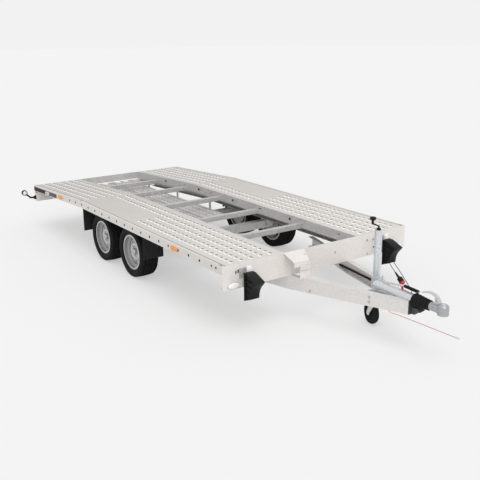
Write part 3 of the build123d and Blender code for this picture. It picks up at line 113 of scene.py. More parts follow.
class Signal:
    """Output socket of a material's network, whose arithmetic adds Math nodes."""

    def __init__(self, network: "Network", socket: bpy.types.NodeSocket) -> None:
        """Keep the socket and the network that it belongs to."""
        self.network = network
        self.socket = socket

    def math(self, operation: str, *operands: "Signal | float") -> "Signal":
        """Add a Math node.

        Args:
            operation: Blender's name of the operation.
            operands: Signals or plain numbers, in order.

        Returns:
            The node's result.
        """
        node = self.network.tree.nodes.new("ShaderNodeMath")
        node.operation = operation
        for socket, operand in zip(node.inputs, operands):
            self.network.feed(socket, operand)
        return Signal(self.network, node.outputs[0])

    def __add__(self, other: "Signal | float") -> "Signal":
        """Sum."""
        return self.math("ADD", self, other)

    def __sub__(self, other: "Signal | float") -> "Signal":
        """Difference."""
        return self.math("SUBTRACT", self, other)

    def __rsub__(self, other: float) -> "Signal":
        """Difference from a number on the left."""
        return self.math("SUBTRACT", other, self)

    def __mul__(self, other: "Signal | float") -> "Signal":
        """Product."""
        return self.math("MULTIPLY", self, other)

    def __pow__(self, other: "Signal | float") -> "Signal":
        """Power."""
        return self.math("POWER", self, other)

    def above(self, edge: float) -> "Signal":
        """One where the value is over the edge, else zero."""
        return self.math("GREATER_THAN", self, edge)


class Network:
    """Node tree of one material, around its Principled shader."""

    def __init__(self, name: str) -> None:
        """Make the material and find its shader.

        Args:
            name: Name of the material.
        """
        self.material = bpy.data.materials.new(name)
        self.material.use_nodes = True
        self.tree = self.material.node_tree
        self.shader = self.tree.nodes["Principled BSDF"]

    def feed(self, socket: bpy.types.NodeSocket, value: object) -> None:
        """Link a signal to a socket, or set the socket to a constant.

        Args:
            socket: Input to fill.
            value: Signal to link, or a constant.
        """
        if isinstance(value, Signal):
            self.tree.links.new(value.socket, socket)
        else:
            socket.default_value = value

    def node(self, kind: str, settings: dict[str, object], inputs: dict[str | int, object],
             output: str | int = 0) -> Signal:
        """Add any node.

        Args:
            kind: Blender's node type.
            settings: Properties of the node.
            inputs: Values or signals by socket name or place.
            output: Name or place of the socket to return.

        Returns:
            The chosen output.
        """
        node = self.tree.nodes.new(kind)
        for key, value in settings.items():
            setattr(node, key, value)
        for key, value in inputs.items():
            self.feed(node.inputs[key], value)
        return Signal(self, node.outputs[output])

    def place(self, stretch: Point = (1, 1, 1)) -> Signal:
        """Object coordinates, stretched along each axis."""
        spot = self.node("ShaderNodeTexCoord", {}, {}, "Object")
        return self.node("ShaderNodeVectorMath", {"operation": "MULTIPLY"}, {0: spot, 1: stretch})

    def noise(self, scale: float, detail: float = 3.0, stretch: Point = (1, 1, 1)) -> Signal:
        """Cloudy value from 0 to 1, with its grain's size and stretch."""
        return self.node("ShaderNodeTexNoise", {}, {"Vector": self.place(stretch), "Scale": scale, "Detail": detail},
                         "Fac")

    def blend(self, factor: Signal, first: object, second: object) -> Signal:
        """Colour between two colours."""
        return self.node("ShaderNodeMix", {"data_type": "RGBA"}, {0: factor, 6: first, 7: second}, 2)

    def bump(self, height: Signal, strength: float, distance: float) -> None:
        """Raise the surface's relief by a height signal."""
        relief = self.node("ShaderNodeBump", {}, {"Height": height, "Strength": strength, "Distance": distance})
        self.set("Normal", relief)

    def set(self, socket: str, value: object) -> None:
        """Give the shader a value or a signal."""
        self.feed(self.shader.inputs[socket], value)


@dataclass(frozen=True)
class Finish:
    """Surface of one kind, as its screen colour, gloss and metal."""

    name: str
    colour: Point
    roughness: float = 0.5
    metallic: float = 0.0
    spread: float = 0.06
    grain: float = 40.0
    specular: float = 0.5

    def tones(self) -> tuple[tuple[float, ...], tuple[float, ...]]:
        """Darker and lighter neighbour of the colour.

        Returns:
            Linear colours, the darker one first.
        """
        low = linear(*[max(0.0, c * (1 - self.spread)) for c in self.colour])
        high = linear(*[min(255.0, c * (1 + self.spread)) for c in self.colour])
        return low, high

    def build(self) -> bpy.types.Material:
        """Make the material.

        Returns:
            The finished material.
        """
        network = Network(self.name)
        network.set("Metallic", self.metallic)
        network.set("Specular IOR Level", self.specular)
        self.dress(network)
        return network.material

    def dress(self, network: Network) -> None:
        """Mottle the colour and the gloss, with a fine relief.

        Args:
            network: Node tree of the material.
        """
        low, high = self.tones()
        cloud = network.noise(self.grain)
        network.set("Base Color", network.blend(cloud, low, high))
        network.set("Roughness", cloud * 0.12 + (self.roughness - 0.06))
        network.bump(network.noise(self.grain * 12), 0.12, 0.0006)


@dataclass(frozen=True)
class RolledMetal(Finish):
    """Sheet with long rolling lines along the trailer, with painted shade darkening it towards the rear."""

    painted_rear_shade: float = 0.0

    def dress(self, network: Network) -> None:
        """Draw fine lines along X over slow clouds, and paint shade that darkens the sheet towards the rear, in place
        of its fainter reflection there.

        Args:
            network: Node tree of the material.
        """
        low, high = self.tones()
        lines = network.noise(self.grain, 4.0, (0.5, 24, 24))
        cloud = network.noise(3.0, 2.0)
        along = network.node("ShaderNodeSeparateXYZ", {}, {0: network.place()}, "X")
        rear = network.node("ShaderNodeMapRange", {}, {"Value": along, "From Min": 1.2, "From Max": -2.2,
                                                       "To Min": 0.0, "To Max": self.painted_rear_shade})
        # painted shade: the colour darkens towards the rear, in place of the sheet's fainter reflection there
        rear_shade_tone = linear(*[c * 0.6 for c in self.colour])
        sheet = network.blend(lines * 0.5 + cloud * 0.5, low, high)
        network.set("Base Color", network.blend(rear, sheet, rear_shade_tone))
        network.set("Roughness", lines * 0.14 + (self.roughness - 0.07))
        network.bump(lines, 0.08, 0.0004)


@dataclass(frozen=True)
class Galvanised(Finish):
    """Hot dipped steel with its crystal spangle."""

    def dress(self, network: Network) -> None:
        """Give each crystal its own tone and gloss.

        Args:
            network: Node tree of the material.
        """
        low, high = self.tones()
        crystals = network.node("ShaderNodeTexVoronoi", {}, {"Vector": network.place(), "Scale": self.grain}, "Color")
        tone = network.node("ShaderNodeSeparateColor", {}, {0: crystals})
        mixed = tone * 0.6 + network.noise(6.0) * 0.4
        network.set("Base Color", network.blend(mixed, low, high))
        network.set("Roughness", tone * 0.16 + (self.roughness - 0.08))
        network.bump(network.noise(120.0), 0.06, 0.0005)


@dataclass(frozen=True)
class WheelSteel(Finish):
    """Silver wheel, with painted shade darkening the deep channel between its flange and disc, and more faintly the
    ring of vent holes.
    """

    hub_x: float = 0.0
    hub_z: float = 0.262

    def dress(self, network: Network) -> None:
        """Paint shade into the ring between the disc and the flange, and more faintly over the vent holes.

        Args:
            network: Node tree of the material.
        """
        low, high = self.tones()
        spot = network.place()
        x = network.node("ShaderNodeSeparateXYZ", {}, {0: spot}, "X") - self.hub_x
        z = network.node("ShaderNodeSeparateXYZ", {}, {0: spot}, "Z") - self.hub_z
        radius = (x * x + z * z) ** 0.5
        # painted shade: darkest in the rim's deep channel, a quarter as dark over the vent holes
        well_shade = radius.above(0.1385) * (1 - radius.above(0.1635))
        vent_shade = radius.above(0.094) * (1 - radius.above(0.12)) * 0.25
        cloud = network.noise(self.grain)
        dark = linear(*[c * 0.72 for c in self.colour])
        bright = network.blend(cloud, low, high)
        network.set("Base Color", network.blend(well_shade * 0.8 + vent_shade, bright, dark))
        network.set("Roughness", cloud * 0.1 + self.roughness)
        network.bump(network.noise(400.0), 0.1, 0.0003)


@dataclass(frozen=True)
class Lens(Finish):
    """Clear or coloured lens with fine optics behind a smooth coat."""

    pitch: float = 0.006

    def dress(self, network: Network) -> None:
        """Rib the lens along its width and coat it.

        Args:
            network: Node tree of the material.
        """
        low, high = self.tones()
        ribs = network.node("ShaderNodeTexWave", {"bands_direction": "DIAGONAL"},
                            {"Vector": network.place(), "Scale": 0.32 / self.pitch, "Distortion": 0.4}, "Fac")
        network.set("Base Color", network.blend(ribs, low, high))
        network.set("Roughness", ribs * 0.1 + self.roughness)
        network.set("Coat Weight", 0.15)
        network.set("Coat Roughness", 0.05)
        network.bump(ribs, 0.25, 0.0008)


class Shade(Enum):
    """Finishes of the trailer."""

    # the deck's sheet carries painted shade that darkens it towards the rear
    DECK = RolledMetal("deck_sheet", (209, 205, 199), 0.36, 0.22, 0.05, 60.0, painted_rear_shade=0.42)
    # near-white that paints highlights on the collars' near sides and on the ramp hooks, also given to the keeper
    # plates
    COLLAR = Finish("painted_highlight_white", (250, 249, 247), 0.26, 0.1, 0.04, 200.0)
    RAIL = RolledMetal("rail_aluminium", (211, 207, 203), 0.38, 0.2, 0.05, 60.0)
    SHADOW = Finish("punched_shadow", (104, 100, 96), 0.8, 0.0, 0.1, 300.0)
    # dark grey for the painted shade in the grooves beside the decks
    SEAM = Finish("painted_groove_shade", (128, 124, 120), 0.8, 0.0, 0.08, 200.0)
    ZINC = Galvanised("galvanised_steel", (224, 219, 215), 0.45, 0.12, 0.03, 70.0)
    LEG = Galvanised("galvanised_drawbar", (213, 209, 206), 0.45, 0.12, 0.04, 70.0)
    # darker copy of galvanised steel: painted shade for the inner beams and the deck's end
    BEAM = Galvanised("galvanised_beam_painted_shade", (194, 192, 190), 0.4, 0.25, 0.06, 60.0)
    CASTING = Galvanised("zinc_casting", (166, 168, 172), 0.3, 0.45, 0.05, 260.0)
    # darker copy of galvanised steel: painted shade for the parts under the deck and behind the chocks
    ZINC_DARK = Galvanised("galvanised_painted_shade", (182, 181, 180), 0.42, 0.35, 0.08, 60.0)
    PLATED = Galvanised("zinc_plated_tube", (208, 212, 215), 0.28, 0.5, 0.02, 420.0)
    BOLT = Finish("plated_bolt", (186, 186, 184), 0.32, 0.8, 0.08, 500.0)
    CAST = Finish("cast_brake_drum", (74, 72, 70), 0.7, 0.5, 0.14, 90.0)
    RUBBER = Finish("tyre_rubber", (24, 24, 25), 0.72, 0.0, 0.14, 60.0, 0.14)
    SOFT = Finish("moulded_rubber", (24, 24, 24), 0.62, 0.0, 0.14, 120.0, 0.14)
    PLASTIC = Finish("moulded_plastic", (24, 25, 25), 0.5, 0.0, 0.1, 160.0, 0.14)
    FLAP = Finish("mudflap_plastic", (34, 35, 35), 0.58, 0.0, 0.08, 80.0, 0.14)
    PAINT = Finish("black_paint", (24, 24, 25), 0.4, 0.0, 0.1, 120.0, 0.14)
    AMBER = Lens("amber_lens", (208, 128, 0), 0.5, 0.0, 0.06, specular=0.1)
    WHITE = Lens("clear_lens", (146, 148, 152), 0.2, 0.0, 0.05, specular=0.3)
    BEZEL = Finish("lamp_bezel", (190, 190, 190), 0.4, 0.2, 0.06, 200.0)
    RED = Lens("red_lens", (186, 26, 24), 0.2, 0.0, 0.1)
    RED_PLASTIC = Finish("red_holder", (196, 40, 36), 0.4, 0.0, 0.08, 200.0)
    SHEATH = Finish("red_cable_sheath", (196, 6, 30), 0.45, 0.0, 0.1, 500.0, 0.12)
    GREY_SHEATH = Finish("dark_cable_sheath", (14, 14, 15), 0.5, 0.0, 0.08, 500.0, 0.1)
    LEVER = Finish("silver_lever", (196, 197, 198), 0.3, 0.5, 0.05, 200.0)
    COVER = Finish("dark_blue_cover", (52, 54, 70), 0.45, 0.0, 0.1, 120.0)
    HOLE = Finish("hole_shadow", (38, 37, 36), 0.85, 0.0, 0.1, 300.0)
    # near-white for the painted highlight on the coupling's crown
    WHITE_INLAY = Finish("painted_crown_highlight", (228, 230, 232), 0.4, 0.0, 0.03, 200.0)
    WHEEL_FRONT = WheelSteel("wheel_silver_front", (196, 195, 195), 0.32, 0.4, 0.05, 80.0, hub_x=-0.325)
    WHEEL_REAR = WheelSteel("wheel_silver_rear", (196, 195, 195), 0.32, 0.4, 0.05, 80.0, hub_x=-1.005)

    def material(self) -> bpy.types.Material:
        """The finish's one material, made at its first use."""
        return bpy.data.materials.get(self.value.name) or self.value.build()


class Bench:
    """Modelling steps that the sub-assemblies share."""

    @staticmethod
    def take(*pieces: bpy.types.Object) -> None:
        """Select these pieces alone, the first one active.

        Args:
            pieces: The pieces to select.
        """
        bpy.ops.object.select_all(action="DESELECT")
        for piece in pieces:
            piece.select_set(True)
        bpy.context.view_layer.objects.active = pieces[0]

    @staticmethod
    @contextmanager
    def editing(piece: bpy.types.Object) -> Iterator[None]:
        """Edit mode on one piece, with all of it selected.

        Args:
            piece: The piece to edit.

        Yields:
            Nothing, while the piece is in edit mode.
        """
        Bench.take(piece)
        bpy.ops.object.mode_set(mode="EDIT")
        bpy.ops.mesh.select_all(action="SELECT")
        yield
        bpy.ops.object.mode_set(mode="OBJECT")

    @staticmethod
    def pick(piece: bpy.types.Object, test: Callable[[Vector, Vector], bool]) -> None:
        """Select the faces whose middle and normal pass a test.

        Args:
            piece: The piece in edit mode.
            test: Says whether a face with this middle and normal is wanted.
        """
        bpy.ops.mesh.select_all(action="DESELECT")
        bpy.ops.mesh.select_mode(type="FACE")
        mesh = bmesh.from_edit_mesh(piece.data)
        for face in mesh.faces:
            face.select_set(test(face.calc_center_median(), face.normal))
        bmesh.update_edit_mesh(piece.data)

    @staticmethod
    def settle(piece: bpy.types.Object) -> None:
        """Bring a piece's origin, turn and scale back to nothing."""
        Bench.take(piece)
        bpy.ops.object.transform_apply(location=True, rotation=True, scale=True)

    @staticmethod
    def line(points: Sequence[Vector]) -> bpy.types.Object:
        """Chain of edges drawn by extruding one vertex from point to point.

        Args:
            points: Corners in order.

        Returns:
            The chain as a piece of its own.
        """
        bpy.ops.object.select_all(action="DESELECT")
        bpy.ops.mesh.primitive_plane_add(size=0.002, location=points[0])
        piece = bpy.context.object
        Bench.settle(piece)
        with Bench.editing(piece):
            bpy.ops.mesh.select_mode(type="VERT")
            bpy.ops.mesh.merge(type="CENTER")
            for before, point in zip(points, points[1:]):
                bpy.ops.mesh.extrude_vertices_move(TRANSFORM_OT_translate={"value": point - before})
        return piece

    @staticmethod
    def turned(profile: Sequence[tuple[float, float]], centre: Point, axis: Point, steps: int = 32) -> bpy.types.Object:
        """Turn a profile about an axis.

        Args:
            profile: Places along the axis and their radius.
            centre: Point of the axis where its measure is zero.
            axis: Direction of the axis.
            steps: Faces around.

        Returns:
            The turned piece.
        """
        along = Vector(axis).normalized()
        outward = along.orthogonal().normalized()
        piece = Bench.line([Vector(centre) + along * a + outward * r for a, r in profile])
        with Bench.editing(piece):
            bpy.ops.mesh.spin(steps=steps, angle=2 * math.pi, center=centre, axis=along)
            bpy.ops.mesh.select_all(action="SELECT")
            bpy.ops.mesh.remove_doubles(threshold=1e-5)
            bpy.ops.mesh.dissolve_degenerate(threshold=1e-6)
            bpy.ops.mesh.select_all(action="SELECT")
            bpy.ops.mesh.normals_make_consistent(inside=False)
        return piece

    @staticmethod
    def rod(start: Point, end: Point, radius: float, steps: int = 16) -> bpy.types.Object:
        """Round bar between two points, its end edges broken."""
        run = Vector(end) - Vector(start)
        edge = min(0.12 * radius, 0.002)
        profile = [(0, 0), (0, radius - edge), (edge, radius), (run.length - edge, radius), (run.length, radius - edge),
                   (run.length, 0)]
        return Bench.turned(profile, start, tuple(run), steps)

    @staticmethod
    def prism(outline: Sequence[Point], travel: Point, edge: float = 0.0, segments: int = 2) -> bpy.types.Object:
        """Extrude a closed outline and round its edges.

        Args:
            outline: Corners of the flat outline.
            travel: Way that the outline is extruded.
            edge: Width of the rounded edges, or 0.
            segments: Faces across each rounded edge.

        Returns:
            The prism.
        """
        piece = Bench.line([Vector(corner) for corner in outline])
        with Bench.editing(piece):
            bpy.ops.mesh.edge_face_add()
            bpy.ops.mesh.extrude_region_move(TRANSFORM_OT_translate={"value": travel})
            bpy.ops.mesh.select_all(action="SELECT")
            bpy.ops.mesh.normals_make_consistent(inside=False)
        if edge:
            Bench.modify(piece, "BEVEL", width=edge, segments=segments, limit_method="ANGLE")
        return piece

    @staticmethod
    def block(low: Point, high: Point, edge: float = 0.001) -> bpy.types.Object:
        """Straight piece between two corners, its edges rounded.

        Args:
            low: Lowest corner.
            high: Highest corner.
            edge: Width of the rounded edges.

        Returns:
            The block.
        """
        outline = [(low[0], low[1], low[2]), (high[0], low[1], low[2]), (high[0], high[1], low[2]),
                   (low[0], high[1], low[2])]
        return Bench.prism(outline, (0, 0, high[2] - low[2]), edge)

    @staticmethod
    def modify(piece: bpy.types.Object, kind: str, **settings: object) -> None:
        """Add a modifier with its settings and apply it.

        Args:
            piece: The piece to change.
            kind: Blender's modifier type.
            settings: Properties of the modifier.
        """
        Bench.take(piece)
        modifier = piece.modifiers.new(kind.lower(), kind)
        for key, value in settings.items():
            setattr(modifier, key, value)
        bpy.ops.object.modifier_apply(modifier=modifier.name)

    @staticmethod
    def row(piece: bpy.types.Object, count: int, step: Point) -> None:
        """Repeat a piece along a line, as one mesh."""
        Bench.modify(piece, "ARRAY", count=count, use_relative_offset=False, use_constant_offset=True,
                     constant_offset_displace=step)

    @staticmethod
    def copy(piece: bpy.types.Object, shift: Point) -> bpy.types.Object:
        """Copy a piece with its own mesh to another place.

        Args:
            piece: The piece to copy.
            shift: Way from the piece to its copy.

        Returns:
            The copy.
        """
        Bench.take(piece)
        bpy.ops.object.duplicate(linked=False)
        twin = bpy.context.object
        bpy.ops.transform.translate(value=shift)
        Bench.settle(twin)
        return twin

    @staticmethod
    def mirrored(piece: bpy.types.Object) -> bpy.types.Object:
        """Copy a piece to the trailer's other side.

        Args:
            piece: The piece to copy.

        Returns:
            The mirrored copy, its normals outward.
        """
        Bench.take(piece)
        bpy.ops.object.duplicate(linked=False)
        twin = bpy.context.object
        twin.scale = (1, -1, 1)
        Bench.settle(twin)
        with Bench.editing(twin):
            bpy.ops.mesh.normals_make_consistent(inside=False)
        return twin

    @staticmethod
    def squashed(piece: bpy.types.Object, centre: Point, scale: Point) -> None:
        """Scale a piece about a point.

        Args:
            piece: The piece to change.
            centre: Point that stays where it is.
            scale: Factor along each axis.
        """
        Bench.take(piece)
        bpy.context.scene.cursor.location = centre
        bpy.ops.object.origin_set(type="ORIGIN_CURSOR")
        piece.scale = scale
        bpy.context.scene.cursor.location = (0, 0, 0)
        Bench.settle(piece)

    @staticmethod
    def joined(pieces: Sequence[bpy.types.Object]) -> bpy.types.Object:
        """Join pieces into the first one.

        Args:
            pieces: The pieces, the one that stays first.

        Returns:
            The first piece with all of them in it.
        """
        Bench.take(*pieces)
        if len(pieces) > 1:
            bpy.ops.object.join()
        return pieces[0]

    @staticmethod
    def done(piece: bpy.types.Object, name: str, shade: Shade, body: str, slot: str, angle: float = 32.0) -> None:
        """Name, shade, dress and hang a finished piece.

        Args:
            piece: The modelled piece.
            name: Its plain name.
            shade: Its finish, for all faces that have none yet.
            body: Body that it moves with.
            slot: Material slot that it stands for; not used.
            angle: Sharpest edge in degrees that is still shaded smooth.
        """
        piece.name = piece.data.name = name
        if not piece.data.materials:
            piece.data.materials.append(shade.material())
        Bench.take(piece)
        bpy.ops.object.shade_smooth_by_angle(angle=math.radians(angle))
        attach(piece, body)
        log.info("%s: %d faces on %s", name, len(piece.data.polygons), body)


@dataclass
class Studio:
    """Pale floor, soft light and the camera."""

    eye: Point = (6.0427, -4.0424, 2.4462)
    yaw: float = 55.255
    pitch: float = 16.4828
    roll: float = -0.5596
    lens: float = 54.0853
    floor_tone: float = 0.835
    sky: float = 0.69
    backdrop: float = 0.888
    shadow_lift: float = 0.5
    lamps: tuple[tuple[str, float, float, Point], ...] = (
        ("overhead_softbox", 0.95, 42.0, (-0.27, 0.15, -0.95)), ("front_softbox", 0.95, 50.0, (-0.80, 0.42, -0.42)))

    def build(self) -> None:
        """Set up the camera, the world, the lamps and the floor."""
        scene = bpy.context.scene
        scene.view_settings.view_transform = "Standard"
        self.place_camera(scene)
        self.light(scene)
        self.lay_floor()

    def place_camera(self, scene: bpy.types.Scene) -> None:
        """Stand the camera where the picture was taken from.

        Args:
            scene: Scene that gets the camera.
        """
        yaw, pitch, roll = (math.radians(v) for v in (self.yaw, self.pitch, self.roll))
        back = Vector((math.sin(yaw) * math.cos(pitch), -math.cos(yaw) * math.cos(pitch), math.sin(pitch)))
        right = Vector((math.cos(yaw), math.sin(yaw), 0))
        up = back.cross(right)
        across = right * math.cos(roll) + up * math.sin(roll)
        upward = up * math.cos(roll) - right * math.sin(roll)
        data = bpy.data.cameras.new("camera")
        data.lens = self.lens
        data.sensor_width = 36.0
        data.clip_end = 400.0
        camera = bpy.data.objects.new("camera", data)
        scene.collection.objects.link(camera)
        camera.matrix_world = Matrix.Translation(self.eye) @ Matrix((across, upward, back)).transposed().to_4x4()
        scene.camera = camera

    def light(self, scene: bpy.types.Scene) -> None:
        """Light softly from above, with a pale backdrop for the eye.

        Args:
            scene: Scene that gets the world and the lamps.
        """
        world = bpy.data.worlds.new("studio")
        world.use_nodes = True
        tree = world.node_tree
        tree.nodes.clear()
        path = tree.nodes.new("ShaderNodeLightPath")
        seen = path.outputs["Is Camera Ray"]
        for ray in ("Is Glossy Ray", "Is Transmission Ray"):
            either = tree.nodes.new("ShaderNodeMath")
            either.operation = "MAXIMUM"
            tree.links.new(seen, either.inputs[0])
            tree.links.new(path.outputs[ray], either.inputs[1])
            seen = either.outputs[0]
        mix = tree.nodes.new("ShaderNodeMixShader")
        tree.links.new(seen, mix.inputs[0])
        for place, tone in ((1, self.sky), (2, self.backdrop)):
            background = tree.nodes.new("ShaderNodeBackground")
            background.inputs["Color"].default_value = (tone, tone, tone, 1)
            tree.links.new(background.outputs[0], mix.inputs[place])
        output = tree.nodes.new("ShaderNodeOutputWorld")
        tree.links.new(mix.outputs[0], output.inputs[0])
        scene.world = world
        for name, energy, spread, travel in self.lamps:
            data = bpy.data.lights.new(name, "SUN")
            data.energy = energy
            data.angle = math.radians(spread)
            lamp = bpy.data.objects.new(name, data)
            lamp.rotation_mode = "QUATERNION"
            lamp.rotation_quaternion = Vector(travel).to_track_quat("-Z", "Y")
            scene.collection.objects.link(lamp)

    def lay_floor(self) -> None:
        """Lay the pale floor, which glows a little for the camera so that shadows stay light."""
        bpy.ops.object.select_all(action="DESELECT")
        bpy.ops.mesh.primitive_circle_add(vertices=96, radius=90.0, fill_type="NGON")
        floor = bpy.context.object
        floor.name = "floor"
        network = Network("pale_floor")
        tone = self.floor_tone
        cloud = network.noise(0.6)
        network.set("Base Color", network.blend(cloud, (tone - 0.004,) * 3 + (1,), (tone + 0.004,) * 3 + (1,)))
        network.set("Roughness", 0.9)
        network.set("Specular IOR Level", 0.1)
        glow = network.tree.nodes.new("ShaderNodeEmission")
        glow.inputs["Color"].default_value = (self.backdrop,) * 3 + (1,)
        seen = network.node("ShaderNodeLightPath", {}, {}, "Is Camera Ray") * self.shadow_lift
        mix = network.tree.nodes.new("ShaderNodeMixShader")
        output = network.tree.nodes["Material Output"]
        network.feed(mix.inputs[0], seen)
        network.tree.links.new(network.shader.outputs[0], mix.inputs[1])
        network.tree.links.new(glow.outputs[0], mix.inputs[2])
        network.tree.links.new(mix.outputs[0], output.inputs[0])
        floor.data.materials.append(network.material)


@dataclass
class Cables:
    """Cable of the plug and the breakaway cable."""

    plug_cable: float = 0.0052
    plug_length: float = 0.494
    breakaway: float = 0.004
    breakaway_length: float = 1.642
    plug_route: tuple[Point, ...] = (
        (2.463, 0.070, 0.41536), (2.463, 0.070, 0.44836), (2.425, 0.080, 0.475), (2.369, 0.088, 0.519),
        (2.315, 0.092, 0.563), (2.265, 0.094, 0.601), (2.219, 0.095, 0.643), (2.231, 0.035, 0.653),
        (2.267, 0.035, 0.609), (2.30976, 0.035, 0.57518))
    breakaway_route: tuple[Point, ...] = (
        (2.54, 0.0, 0.4693), (2.48536, -0.00059, 0.46951), (2.43145, 0.00731, 0.47103),
        (2.38216, 0.03036, 0.47281), (2.33981, 0.06467, 0.47058), (2.30217, 0.1032, 0.46165),
        (2.26693, 0.14169, 0.44553), (2.23287, 0.17788, 0.42288), (2.19944, 0.2107, 0.39479),
        (2.1664, 0.23984, 0.36247), (2.13363, 0.26539, 0.32701), (2.10106, 0.28774, 0.28925),
        (2.06864, 0.30734, 0.24987), (2.03635, 0.32476, 0.20936), (2.00423, 0.34065, 0.1681),
        (1.97245, 0.35588, 0.12633), (1.94163, 0.37198, 0.08418), (1.91468, 0.39284, 0.04159),
        (1.91935, 0.42879, 0.00734), (1.96877, 0.45003, 0.00247), (2.023, 0.454, 0.0023),
        (2.587, 0.47, 0.0023))

    def build(self, nodes: dict[str, bpy.types.Object]) -> None:
        """Lay both cables.

        Args:
            nodes: The trailer's solids by name; not used.
        """
        plug = self.draw("plug_cable_line", self.plug_route, self.plug_cable, Shade.GREY_SHEATH)
        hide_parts("plug_cable")
        line = self.draw("breakaway_line", self.breakaway_route, self.breakaway, Shade.SHEATH)
        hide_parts("breakaway_cable")

    def draw(self, name: str, route: Sequence[Point], diameter: float, shade: Shade) -> bpy.types.Object:
        """Draw one cable as a smooth curve over its route.

        Args:
            name: The piece's name.
            route: Control points of its line.
            diameter: Thickness of the cable.
            shade: Its finish.

        Returns:
            The curve, riding on the chassis.
        """
        data = bpy.data.curves.new(name, "CURVE")
        data.dimensions = "3D"
        data.bevel_depth = diameter / 2
        data.bevel_resolution = 4
        data.resolution_u = 16
        data.use_fill_caps = True
        spline = data.splines.new("NURBS")
        spline.points.add(len(route) - 1)
        for point, place in zip(spline.points, route):
            point.co = (*place, 1.0)
        spline.order_u = 3
        spline.use_endpoint_u = True
        data.materials.append(shade.material())
        piece = bpy.data.objects.new(name, data)
        bpy.context.scene.collection.objects.link(piece)
        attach(piece, "chassis")
        log.info("%s: %d points", name, len(route))
        return piece


